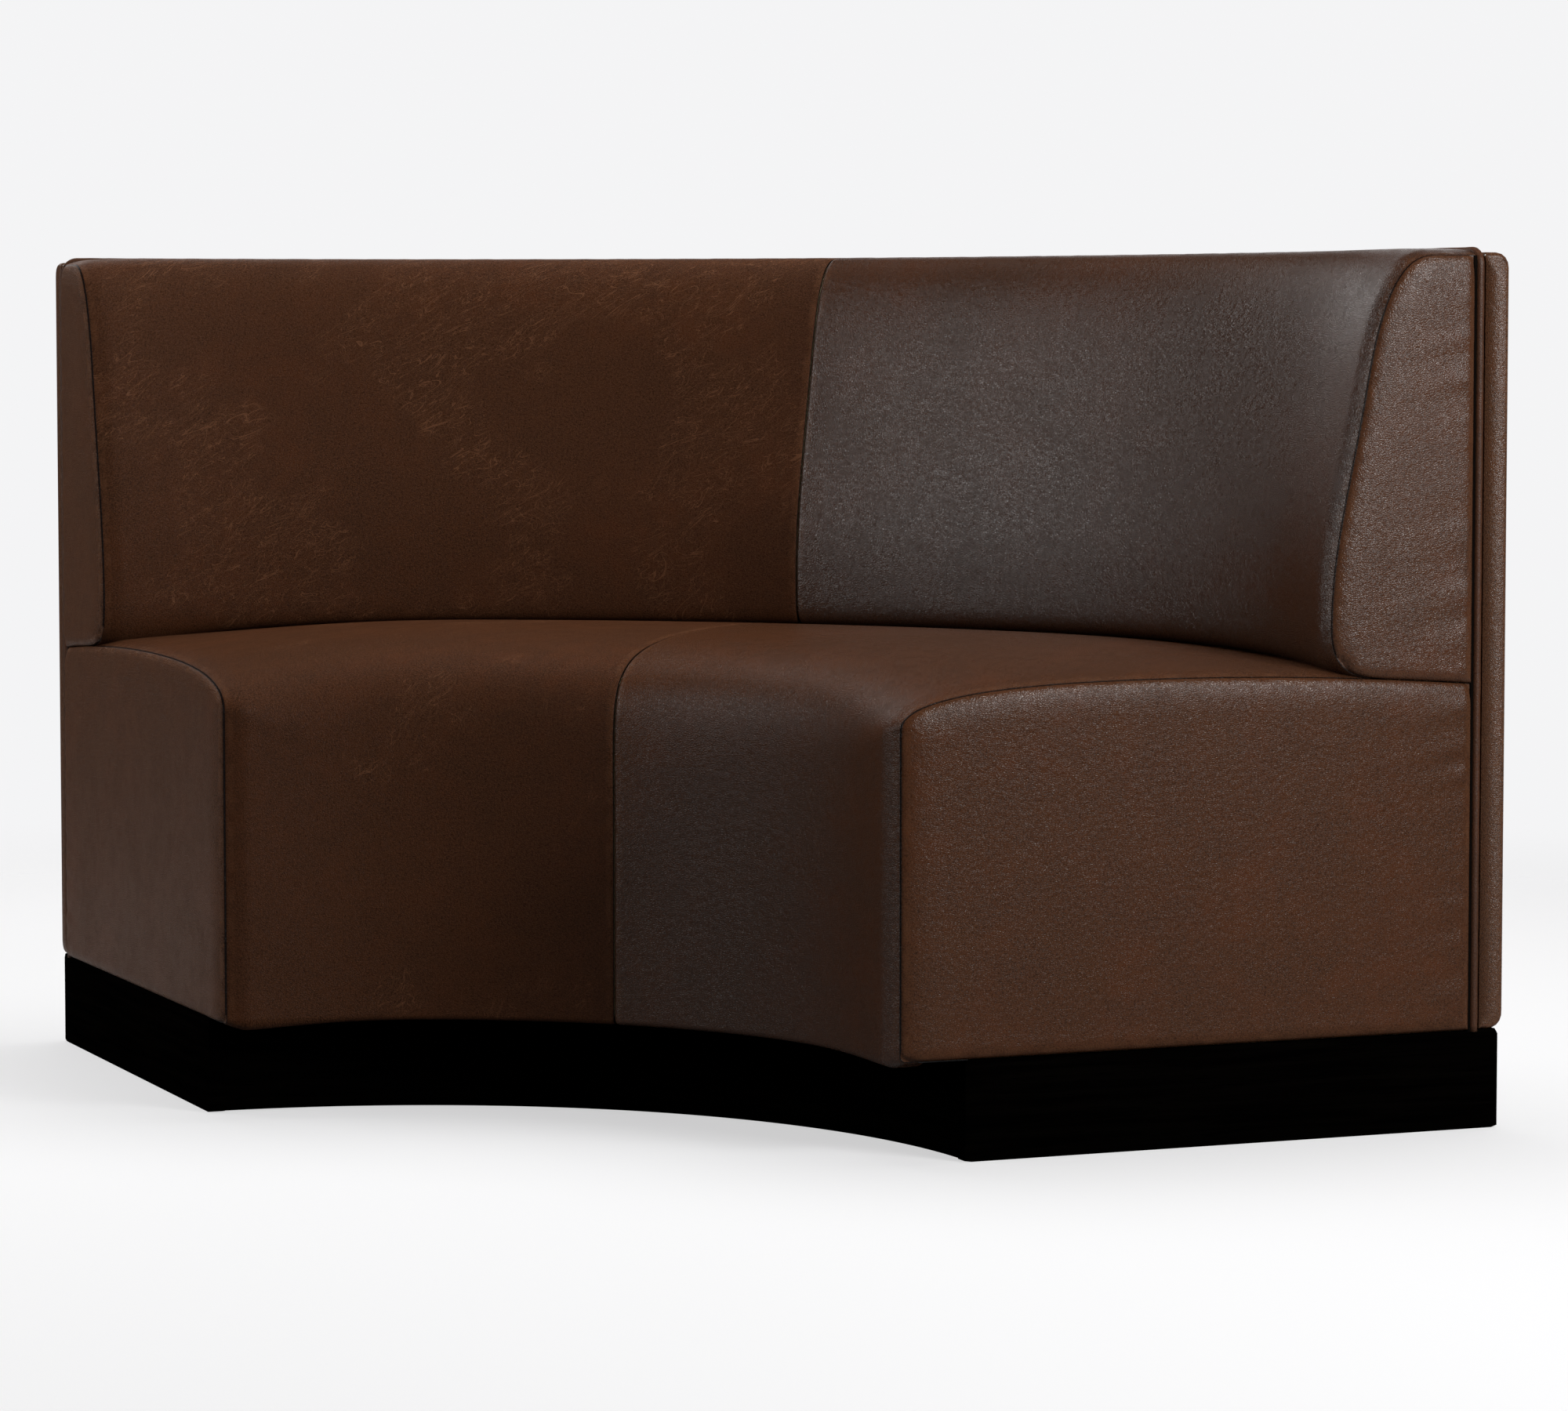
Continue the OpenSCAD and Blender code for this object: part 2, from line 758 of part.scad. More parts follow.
module back_foam() {
    z = rail_top_z + fit;
    sections = [for (s = all_stations())
        let (
            line = inset_line(
                back_line(crown(s, seat_crown_reach), crown(s, back_crown_reach)),
                groove(s) + hide_t + fit),
            low_z = line[0][1],
            inner = [
                [cushion_rear_r, z],
                [board_line_r(z) - fit, z],
                [board_line_r(low_z) - fit, low_z]])
        [for (p = concat(line, inner)) around(p, s, 0, seam_depth + fit)]];
    color(foam_colour)
        lofted(sections, len(sections[0]) - 2, len(station_shares) - 1);
}

// End panel over a closed outline [r, z], rounded in to its seam and swollen outwards
module end_panel(outline, middle) {
    reach = seam_depth + panel_bulge*panel_edge_share;
    edge = [for (t = panel_turns)
        [for (p = inset_loop(outline, panel_round*(1 - cos(t))))
            on_end(p[0], p[1], reach*sin(t) - seam_depth)]];
    swell = [for (p = outline)
        let (q = mix(middle, p, panel_ring_share)) on_end(q[0], q[1], panel_bulge)];
    color(leather_colour)
        lofted_to_point(concat(edge, [swell]), on_end(middle[0], middle[1], panel_bulge),
            on_end(middle[0], middle[1], -seam_depth));
}

// Rings closed by a fan to a point at each end
module lofted_to_point(rings, tip, foot) {
    n = len(rings[0]);
    m = len(rings);
    points = concat([for (s = rings) each s], [tip, foot]);
    fans = [for (i = [0 : n - 1])
        each [[(i + 1)%n, m*n + 1, i], [(m - 1)*n + i, m*n, (m - 1)*n + (i + 1)%n]]];
    polyhedron(points, concat(fans, skin_faces(n, m, n, 0)));
}

module seat_end_panel_right() {
    turn = edge_r*(1 - cos(45));
    f = seat_front(0);
    outline = concat(
        [[cushion_rear_r, under_z], [f + edge_r, under_z], [f + turn, under_z + turn],
            [f, under_z + edge_r]],
        seat_nose(0),
        seat_rear(0, cushion_rear_r));
    end_panel(outline, [mix(f, cushion_rear_r, 1/2), mix(under_z, seat_h, 1/2)]);
}

module back_end_panel_right() {
    low = [cushion_rear_r, seat_top_z(cushion_rear_r, 0) + crevice_gap];
    outline = concat([low], back_line(0, 0));
    end_panel(outline, [mix(top_crest_r, cushion_rear_r, 1/4), mix(low[1], back_h, 1/2)]);
}

plinth_front();
plinth_back();
left_of_right() plinth_end_right();  // plinth_end_left
plinth_end_right();
plinth_cross_boards();
plinth_corner_blocks();
plinth_screws();
base_board();
left_of_right() gable_right();  // gable_left
gable_right();
for (i = [0 : rib_count - 1])
    frame_rib(i);
seat_front_board();
seat_deck();
back_board();
top_rail();
dust_cover();
outer_back_board();
outer_back_wadding();
outer_back_cover();
piping();
seat_foam();
left_of_right() seat_cover_right();  // seat_cover_left
seat_cover_right();
left_of_right() seat_end_panel_right();  // seat_end_panel_left
seat_end_panel_right();
back_foam();
left_of_right() back_cover_right();  // back_cover_left
back_cover_right();
left_of_right() back_end_panel_right();  // back_end_panel_left
back_end_panel_right();
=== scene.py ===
import math

import bmesh
import bpy
import numpy as np
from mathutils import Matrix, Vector


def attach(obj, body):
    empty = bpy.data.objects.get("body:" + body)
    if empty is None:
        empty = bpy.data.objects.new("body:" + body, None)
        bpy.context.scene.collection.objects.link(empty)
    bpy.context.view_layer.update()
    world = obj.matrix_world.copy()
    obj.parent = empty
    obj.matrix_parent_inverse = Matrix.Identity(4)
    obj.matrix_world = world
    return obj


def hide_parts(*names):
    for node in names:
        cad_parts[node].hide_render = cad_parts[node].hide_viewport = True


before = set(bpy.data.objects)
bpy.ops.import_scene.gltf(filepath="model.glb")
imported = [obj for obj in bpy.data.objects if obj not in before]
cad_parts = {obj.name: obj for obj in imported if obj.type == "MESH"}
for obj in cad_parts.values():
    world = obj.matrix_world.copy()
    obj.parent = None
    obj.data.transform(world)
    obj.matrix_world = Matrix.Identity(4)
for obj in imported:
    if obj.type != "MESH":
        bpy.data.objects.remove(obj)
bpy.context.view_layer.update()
print("frame loaded:", len(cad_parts), "nodes")

bench = {
    "sweep": math.radians(90),  # angle of the wedge
    "outerR": 1.2195,  # outside of the back
    "frontR": 0.5355,  # seat front at its ends
    "turnY": -0.799082,  # centre of the quarter turn
    "plinthH": 0.1036,
    "underZ": 0.1037,  # lower edge of the upholstery
    "seatH": 0.4772,  # seat crest at the end seams
    "backH": 0.904,
    "panelH": 0.907,  # outer back panel
    "pipingR": 1.18525,
    "cushionRearR": 1.180,
    "tuckR": 1.0635,  # where seat and back meet
    "faceR": 1.0145,  # face of the back at its ends
    "seamDepth": 0.0015,  # seams behind the end faces
}
half = bench["sweep"] / 2
sides = ((-1, "left"), (1, "right"))


# points: all of these work on whole arrays


def mix(a, b, s):
    # a at s = 0, b at s = 1
    return a + (b - a) * s


def near(d, width):
    # 1 at distance 0, falling evenly to 0 a width away
    return np.clip(1 - d / width, 0, 1)


def crown(away, reach):
    # 0 on the end seam, rising as 1 - (1 - away/reach)^2.2 and 1 past the reach
    return 1 - near(away, reach) ** 2.2


def unit(v):
    # vectors along the last axis, each divided by its length
    return v / np.maximum(np.linalg.norm(v, axis=-1, keepdims=True), 1e-12)


def bezier(p0, p1, p2, p3, s):
    # cubic curve through p0 and p3 pulled by p1 and p2; s runs along the last but one axis
    s = s[None, :, None]
    pulled = 3 * (1 - s) ** 2 * s * p1[:, None] + 3 * (1 - s) * s**2 * p2[:, None]
    return (1 - s) ** 3 * p0[:, None] + pulled + s**3 * p3[:, None]


def evenly(count, end=1):
    # numbers from 0 up to the end, which they leave out
    return np.linspace(0, end, count, endpoint=False)


def pair(r, z):
    # columns of section points [r, z] from numbers or arrays
    r, z = np.broadcast_arrays(np.asarray(r, float), np.asarray(z, float))
    return np.stack([r, z], -1)


def sectionNormals(line):
    # unit normals of section lines, to the left of the way they run: away from the padding
    along = unit(np.gradient(line, axis=-2))
    return np.stack([-along[..., 1], along[..., 0]], -1)


def closedNormals(loop):
    # unit normals into a closed anticlockwise line
    along = unit(np.roll(loop, -1, 0) - np.roll(loop, 1, 0))
    return np.stack([-along[:, 1], along[:, 0]], -1)


def surfaceNormals(points, side):
    # unit normals of a grid from the cross product of its two gradients, pointing outwards
    return unit(np.cross(np.gradient(points, axis=0), np.gradient(points, axis=1))) * side


def lineLength(line):
    # running length along each section line
    step = np.linalg.norm(np.diff(line, axis=-2), axis=-1)
    return np.concatenate([np.zeros(step.shape[:-1] + (1,)), np.cumsum(step, -1)], -1)


def alongLine(line, shares):
    # points of a line at shares of its length
    s = lineLength(line)
    return np.stack([np.interp(shares * s[-1], s, v) for v in line.T], -1)


def around(r, z, t):
    # point at radius r, height z and angle t round the centre of the turn
    return np.stack([r * np.sin(t), r * np.cos(t) + bench["turnY"], z + 0 * t], -1)


def onEnd(r, z, out, side):
    # point of the end plane of side -1 or 1, moved out past it
    x = r * math.sin(half) + out * math.cos(half)
    y = r * math.cos(half) - out * math.sin(half) + bench["turnY"]
    return np.stack(np.broadcast_arrays(side * x, y, z), -1)


def ripple(s, seed, pitch):
    # irregular bumps along s: five sines with fixed random lengths and phases, 0 to 1
    rng = np.random.default_rng(seed)
    lengths = pitch * rng.uniform(0.55, 2.2, 5)
    phases = rng.uniform(0, 2 * np.pi, 5)
    weights = rng.uniform(0.4, 1.0, 5)
    waves = zip(weights, lengths, phases)
    total = sum(weight * np.sin(2 * np.pi * s / length + phase) for weight, length, phase in waves)
    return np.clip(0.5 + total / weights.sum(), 0, 1)


def gridMap(u, v):
    # map coordinates of a grid from its lengths along the rows and the columns
    return np.stack(np.broadcast_arrays(u[:, None], v[None, :]), -1)


# meshes


def makeMesh(name, points, faces, uv=None, seam=None):
    # mesh object from a point array and a list of face index arrays
    mesh = bpy.data.meshes.new(name)
    mesh.from_pydata(points.reshape(-1, 3).tolist(), [], [f for a in faces for f in a.tolist()])
    if uv is not None:
        layer = mesh.uv_layers.new(name="hide")
        index = np.empty(len(mesh.loops), np.int32)
        mesh.loops.foreach_get("vertex_index", index)
        layer.data.foreach_set("uv", uv.reshape(-1, 2)[index].astype(np.float32).ravel())
    if seam is not None:
        data = mesh.attributes.new("seam", "FLOAT", "POINT")
        data.data.foreach_set("value", seam.astype(np.float32).ravel())
    mesh.polygons.foreach_set("use_smooth", np.ones(len(mesh.polygons), bool))
    mesh.update()
    piece = bpy.data.objects.new(name, mesh)
    bpy.context.collection.objects.link(piece)
    return piece


def gridFaces(rows, columns, closed=False):
    # quads between neighbouring rows of a grid; closed joins the last column to the first
    i = np.arange(rows - 1)[:, None] * columns
    j = np.arange(columns if closed else columns - 1)[None, :]
    k = (j + 1) % columns
    return np.stack([i + j, i + k, i + columns + k, i + columns + j], -1).reshape(-1, 4)


def capFaces(count, start, turned):
    # strip of quads across a closed ring of points, from one side to the other
    i = np.arange(count // 2 - 1)
    quads = np.stack([i, i + 1, count - 2 - i, count - 1 - i], -1) + start
    return quads[:, ::-1] if turned else quads


def tubeFaces(rows, count):
    # a closed grid with a face across each end
    ring = np.arange(count)[None]
    return [gridFaces(rows, count, closed=True), ring[:, ::-1], ring + (rows - 1) * count]


def noSeam(points):
    # distance to the seam where there is none: 1 m, past the reach of what a seam does
    return np.ones(points.shape[:2])


def tidyMesh(piece):
    # merge doubled points and turn every face outwards
    work = bmesh.new()
    work.from_mesh(piece.data)
    bmesh.ops.remove_doubles(work, verts=work.verts, dist=0.00005)
    bmesh.ops.dissolve_degenerate(work, edges=work.edges, dist=0.00001)
    bmesh.ops.recalc_face_normals(work, faces=work.faces)
    work.to_mesh(piece.data)
    work.free()
    piece.data.polygons.foreach_set("use_smooth", np.ones(len(piece.data.polygons), bool))


def place(piece, slot, material, *nodes):
    # every piece rides on the one body, takes the given material and hides the CAD nodes it stands
    # for
    piece.data.materials.append(material)
    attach(piece, "root")
    if nodes:
        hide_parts(*nodes)
    return piece


# nodes


def feed(tree, socket, value):
    # an output is linked, anything else becomes the input's own value
    if isinstance(value, bpy.types.NodeSocket):
        tree.links.new(value, socket)
    elif socket.type == "RGBA":
        socket.default_value = (*value, 1.0)
    else:
        socket.default_value = value


def addNode(tree, kind, inputs=None, **settings):
    # node with its settings; its inputs are given by name or number
    node = tree.nodes.new("ShaderNode" + kind)
    for key, value in settings.items():
        setattr(node, key, value)
    for key, value in (inputs or {}).items():
        feed(tree, node.inputs[key], value)
    return node


def arrange(tree):
    # nodes in columns by their longest way to the output
    column = dict.fromkeys(tree.nodes.keys(), 0)
    for _ in tree.nodes:
        for link in tree.links:
            source, target = link.from_node.name, link.to_node.name
            column[source] = max(column[source], column[target] + 1)
    filled = {}
    for node in tree.nodes:
        level = column[node.name]
        filled[level] = filled.get(level, 0) + 1
        node.location = (-220 * level, -260 * filled[level])


def newGroup(name, inputs):
    # node group with a Vector input where the value is None, and otherwise Float inputs
    tree = bpy.data.node_groups.new(name, "ShaderNodeTree")
    for label, value in inputs.items():
        kind = "NodeSocketVector" if value is None else "NodeSocketFloat"
        socket = tree.interface.new_socket(name=label, in_out="INPUT", socket_type=kind)
        if value is not None:
            socket.default_value = value
    return tree, tree.nodes.new("NodeGroupInput").outputs


def closeGroup(tree, outputs):
    # the group's named outputs, all of them Float
    for label in outputs:
        tree.interface.new_socket(name=label, in_out="OUTPUT", socket_type="NodeSocketFloat")
    end = tree.nodes.new("NodeGroupOutput")
    for label, value in outputs.items():
        tree.links.new(value, end.inputs[label])
    arrange(tree)
    return tree


def maths(tree, operation, a, b=None):
    inputs = {0: a} if b is None else {0: a, 1: b}
    return addNode(tree, "Math", inputs, operation=operation).outputs[0]


def vectorMaths(tree, operation, a, b):
    # SCALE takes a number as b, the others a vector
    inputs = {0: a, "Scale" if operation == "SCALE" else 1: b}
    return addNode(tree, "VectorMath", inputs, operation=operation).outputs[0]


def remap(tree, value, low, high, toLow=0.0, toHigh=1.0, way="SMOOTHSTEP"):
    inputs = {"Value": value, "From Min": low, "From Max": high, "To Min": toLow, "To Max": toHigh}
    return addNode(tree, "MapRange", inputs, interpolation_type=way).outputs["Result"]


def blend(tree, factor, a, b):
    inputs = {0: factor, 6: a, 7: b}
    return addNode(tree, "Mix", inputs, data_type="RGBA").outputs[2]


def noiseAt(tree, vector, scale, detail, rough=0.5, distortion=0.0, solid=False):
    inputs = {"Vector": vector, "Scale": scale, "Detail": detail, "Roughness": rough,
              "Distortion": distortion}
    return addNode(tree, "TexNoise", inputs, noise_dimensions="3D" if solid else "2D").outputs


def bump(tree, height, distance, strength, normal=None):
    inputs = {"Distance": distance, "Strength": strength, "Height": height}
    if normal is not None:
        inputs["Normal"] = normal
    return addNode(tree, "Bump", inputs).outputs[0]


# shared effects


def pebbleGroup():
    # leather grain: rounded cells from the distance to their edges, warped, over finer lumps; in
    # the colour the Valley mask paints shade and the Lump mask painted highlights
    tree, given = newGroup("pebbleGrain", {"Vector": None, "Cells per metre": 600.0, "Lumps": 1.0})
    warp = noiseAt(tree, given[0], 160, 2)["Color"]
    centred = vectorMaths(tree, "SUBTRACT", warp, (0.5, 0.5, 0.5))
    moved = vectorMaths(tree, "ADD", given[0], vectorMaths(tree, "SCALE", centred, 0.004))
    wide = vectorMaths(tree, "MULTIPLY", moved, (0.72, 1.0, 1.0))
    cells = addNode(tree, "TexVoronoi", voronoi_dimensions="2D", feature="DISTANCE_TO_EDGE")
    tree.links.new(wide, cells.inputs["Vector"])
    tree.links.new(given[1], cells.inputs["Scale"])
    toEdge = cells.outputs["Distance"]
    slow = noiseAt(tree, given[0], 70, 3, 0.6)["Fac"]
    depth = remap(tree, slow, 0.3, 0.7, 0.8, 1.0)
    shaped = maths(tree, "MULTIPLY", remap(tree, toEdge, 0.0, 0.38), depth)
    raised = remap(tree, noiseAt(tree, wide, 760, 2)["Fac"], 0.25, 0.75)
    tall = maths(tree, "MULTIPLY", raised, given[2])
    return closeGroup(tree, {
        "Height": maths(tree, "ADD", shaped, tall),
        "Valley": remap(tree, toEdge, 0.0, 0.2, 1.0, 0.0),
        "Lump": raised,
    })


def toneGroup():
    # mottling of a waxed hide: four masks from noise at falling sizes, the finest of them for
    # painted highlight flecks
    tree, given = newGroup("hideTone", {"Vector": None, "Patches per metre": 4.0})
    sized = vectorMaths(tree, "SCALE", given[0], given[1])
    shifted = vectorMaths(tree, "ADD", sized, (7.3, 2.1, 4.7))
    masks = {}
    for label, vector, scale, detail, rough, distortion, low, high in (
        ("Warm", sized, 0.8, 5, 0.62, 0.5, 0.36, 0.66),
        ("Dark", shifted, 1.4, 8, 0.76, 0.3, 0.4, 0.68),
        ("Mottle", given[0], 38, 6, 0.72, 0.0, 0.42, 0.62),
        ("HighlightFlecks", given[0], 340, 4, 0.7, 0.0, 0.38, 0.64),
    ):
        noise = noiseAt(tree, vector, scale, detail, rough, distortion)["Fac"]
        masks[label] = remap(tree, noise, low, high)
    return closeGroup(tree, masks)


def creaseGroup():
    # fine stretch creases: thin ridges where warped noise crosses its middle, kept to patches
    tree, given = newGroup("stretchCreases", {"Vector": None, "Coverage": 0.5, "Angle": 0.6})
    inputs = {"Vector": given[0], "Angle": given[2]}
    turned = addNode(tree, "VectorRotate", inputs, rotation_type="Z_AXIS").outputs[0]
    slim = vectorMaths(tree, "MULTIPLY", turned, (1.0, 2.6, 1.0))
    lines = None
    for scale, width in ((9, 0.006), (17, 0.009), (34, 0.012)):
        field = noiseAt(tree, slim, scale, 3, 0.6, 0.8)["Fac"]
        away = maths(tree, "ABSOLUTE", maths(tree, "SUBTRACT", field, 0.5))
        line = remap(tree, away, 0.0, width, 1.0, 0.0)
        lines = line if lines is None else maths(tree, "MAXIMUM", lines, line)
    zones = noiseAt(tree, given[0], 5.5, 3, 0.6)["Fac"]
    threshold = maths(tree, "SUBTRACT", 0.78, maths(tree, "MULTIPLY", given[1], 0.4))
    patch = remap(tree, maths(tree, "SUBTRACT", zones, threshold), 0.0, 0.09)
    return closeGroup(tree, {"Line": maths(tree, "MULTIPLY", lines, patch)})


def seamGroup():
    # what a seam does to the leather, from its distance: painted shade in the fold, a rubbed ridge
    # that is wear and, where its share is high, a painted highlight
    tree, given = newGroup("seamWear", {"Distance": 1.0, "Vector": None, "Ridge": 0.006})
    bell = maths(tree, "SUBTRACT", maths(tree, "DIVIDE", given[0], given[2]), 1.0)
    ridge = remap(tree, maths(tree, "MULTIPLY", bell, bell), 0.0, 0.8, 1.0, 0.0)
    broken = remap(tree, noiseAt(tree, given[1], 45, 4, 0.7)["Fac"], 0.35, 0.65)
    folds = noiseAt(tree, given[1], 62, 2)["Fac"]
    reach = remap(tree, given[0], 0.002, 0.03, 1.0, 0.0)
    return closeGroup(tree, {
        "FoldShade": remap(tree, given[0], 0.0002, 0.0011, 1.0, 0.0),
        "RubAndHighlight": maths(tree, "MULTIPLY", ridge, broken),
        "Pucker": maths(tree, "MULTIPLY", folds, reach),
    })


def woodGroup():
    # straight grain along U: long noise streaks with pores
    tree, given = newGroup("woodGrain", {"Vector": None, "Stretch": 18.0})
    along, across, up = addNode(tree, "SeparateXYZ", {0: given[0]}).outputs
    slow = maths(tree, "DIVIDE", along, given[1])
    whole = addNode(tree, "CombineXYZ", {0: slow, 1: across, 2: up}).outputs[0]
    streak = noiseAt(tree, whole, 95, 5, 0.6, 0.6, solid=True)["Fac"]
    pore = noiseAt(tree, whole, 620, 3, 0.7, solid=True)["Fac"]
    return closeGroup(tree, {
        "Streak": remap(tree, streak, 0.3, 0.7),
        "Pore": remap(tree, pore, 0.55, 0.72),
    })


pebbleGrain = pebbleGroup()
hideTone = toneGroup()
stretchCreases = creaseGroup()
seamWear = seamGroup()
woodGrain = woodGroup()
print("shared effects made")


# materials


def newMaterial(name, specular=0.5):
    material = bpy.data.materials.new(name)
    material.use_nodes = True
    shader = material.node_tree.nodes["Principled BSDF"]
    shader.inputs["Specular IOR Level"].default_value = specular
    return material, material.node_tree, shader


def finishMaterial(tree, shader, colour, rough, normal):
    feed(tree, shader.inputs["Base Color"], colour)
    feed(tree, shader.inputs["Roughness"], rough)
    feed(tree, shader.inputs["Normal"], normal)
    arrange(tree)


def leather(name, look):
    # waxed hide on its own map in metres: mottled colour, pebble grain, creases and seam wear, with
    # painted shade in grain valleys and seam folds and painted highlights on grain flecks and
    # rubbed seam ridges
    material, tree, shader = newMaterial(name, look["specular"])
    spot = addNode(tree, "TexCoord").outputs["UV"]
    vector = addNode(tree, "Mapping", {"Vector": spot, "Location": look["shift"]}).outputs[0]
    toSeam = addNode(tree, "Attribute", attribute_name="seam").outputs["Fac"]
    tone, grain, crease, wear = (
        addNode(tree, "Group", {"Vector": vector} | values, node_tree=group).outputs
        for group, values in (
            (hideTone, {"Patches per metre": look["patches"]}),
            (pebbleGrain, {"Cells per metre": look["cells"], "Lumps": look["lumps"]}),
            (stretchCreases, {"Coverage": look["creases"], "Angle": look["angle"]}),
            (seamWear, {"Ridge": look["ridge"], "Distance": toSeam}),
        )
    )

    colour = blend(tree, tone["Warm"], look["base"], look["warm"])
    # painted light in the colour: lightened flecks and raised lumps are painted highlights,
    # darkened grain valleys painted shade
    for mask, share, over in (
        (tone["Dark"], "darkShare", "dark"),
        (tone["Mottle"], "mottle", "dark"),
        (tone["HighlightFlecks"], "highlightFlecks", "light"),
        (grain["Valley"], "valleyShadeShare", "dark"),
        (grain["Lump"], "highlightFlecks", "light"),
        (crease["Line"], "lineShare", "wornAndHighlight"),
        (wear["RubAndHighlight"], "rubAndHighlight", "wornAndHighlight"),
    ):
        colour = blend(tree, maths(tree, "MULTIPLY", mask, look[share]), colour, look[over])
    # painted shade in the seam fold
    colour = blend(tree, wear["FoldShade"], colour, look["fold"])

    rough = remap(tree, tone["Dark"], 0.0, 1.0, look["rough"] - 0.02, look["rough"] + 0.03)
    rough = maths(tree, "ADD", rough, maths(tree, "MULTIPLY", grain["Valley"], look["valleyRough"]))
    rough = maths(tree, "SUBTRACT", rough, maths(tree, "MULTIPLY", wear["RubAndHighlight"], look["rubShine"]))
    cloudy = remap(tree, tone["Mottle"], 0.0, 1.0, -look["cloudy"], look["cloudy"], "LINEAR")
    rough = maths(tree, "ADD", rough, cloudy)

    puckers = bump(tree, wear["Pucker"], 0.0016, look["pucker"])
    dips = maths(tree, "SUBTRACT", 1.0, crease["Line"])
    creases = bump(tree, dips, 0.0005, look["creaseDepth"], puckers)
    pebbles = bump(tree, grain["Height"], 0.00035, look["grainDepth"], creases)
    finishMaterial(tree, shader, colour, rough, pebbles)
    return material


def wood(name, look):
    # stained or bare board with straight grain along its own UV map or Object X
    material, tree, shader = newMaterial(name, look["specular"])
    spot = addNode(tree, "TexCoord").outputs["UV" if look["onMap"] else "Object"]
    inputs = {"Vector": spot, "Stretch": look["stretch"]}
    streak, pore = addNode(tree, "Group", inputs, node_tree=woodGrain).outputs
    colour = blend(tree, pore, blend(tree, streak, look["base"], look["streak"]), look["pore"])
    rough = remap(tree, streak, 0, 1, look["rough"] - 0.05, look["rough"] + 0.08)
    height = maths(tree, "SUBTRACT", streak, pore)
    finishMaterial(tree, shader, colour, rough, bump(tree, height, 0.0004, look["depth"]))
    return material


def fibres(name, base, light, scale, rough, specular=0.5):
    # foam, wadding or cloth: two sizes of noise over colour, roughness and height
    material, tree, shader = newMaterial(name, specular)
    spot = addNode(tree, "TexCoord").outputs["Object"]
    cells = noiseAt(tree, spot, scale, 5, 0.75, solid=True)["Fac"]
    slow = noiseAt(tree, spot, scale / 12, 3, 0.6, solid=True)["Fac"]
    colour = blend(tree, remap(tree, cells, 0.35, 0.65), base, light)
    shade = tuple(0.7 * v for v in base)
    colour = blend(tree, remap(tree, slow, 0.4, 0.7, 0, 0.35), colour, shade)
    matt = remap(tree, cells, 0.3, 0.7, rough - 0.08, min(rough + 0.06, 1))
    finishMaterial(tree, shader, colour, matt, bump(tree, cells, 0.001, 0.6))
    return material


def steel(name):
    # zinc-plated screws: blue-grey metal with fine scratches
    material, tree, shader = newMaterial(name)
    shader.inputs["Metallic"].default_value = 1.0
    spot = addNode(tree, "TexCoord").outputs["Object"]
    marks = noiseAt(tree, spot, 900, 4, 0.7, solid=True)["Fac"]
    mask = remap(tree, marks, 0.35, 0.65)
    colour = blend(tree, mask, (0.56, 0.57, 0.6), (0.66, 0.66, 0.64))
    rough = remap(tree, mask, 0, 1, 0.3, 0.48)
    finishMaterial(tree, shader, colour, rough, bump(tree, marks, 0.0002, 0.4))
    return material


hideLook = {
    "base": (0.0475, 0.0172, 0.0070),
    "warm": (0.0700, 0.0202, 0.0066),
    # broad dark tone and mottling, and painted shade in the grain valleys
    "dark": (0.0190, 0.0078, 0.0036),
    # painted highlight: colour of the light grain flecks that stand in for glints
    "light": (0.085, 0.034, 0.0163),
    "wornAndHighlight": (0.125, 0.054, 0.026),  # creases and rubbed ridges, and a painted highlight along the left ends' seams
    # painted shade: near-black colour of the seam folds
    "fold": (0.004, 0.002, 0.0015),
    "darkShare": 0.8,
    "mottle": 0.55,
    "highlightFlecks": 0.58,
    "valleyShadeShare": 0.75,
    "lineShare": 0.8,
    "rubAndHighlight": 0.25,
    "patches": 4.2,
    "cells": 540.0,
    "lumps": 0.5,
    "creases": 0.5,
    "angle": 0.6,
    "ridge": 0.005,
    "rough": 0.46,
    "valleyRough": 0.12,
    "rubShine": 0.08,
    "cloudy": 0.02,  # how much the mottling changes the roughness
    "specular": 0.35,
    "pucker": 0.5,
    "creaseDepth": 0.2,
    "grainDepth": 0.7,
    "shift": (0.0, 0.0, 0.0),
}
endLook = hideLook | {
    "patches": 9.0, "lumps": 0.6, "grainDepth": 0.8, "creases": 0.1, "pucker": 0.3,
    "highlightFlecks": 0.75, "base": (0.0475, 0.0181, 0.0076), "warm": (0.0745, 0.0202, 0.0063),
}
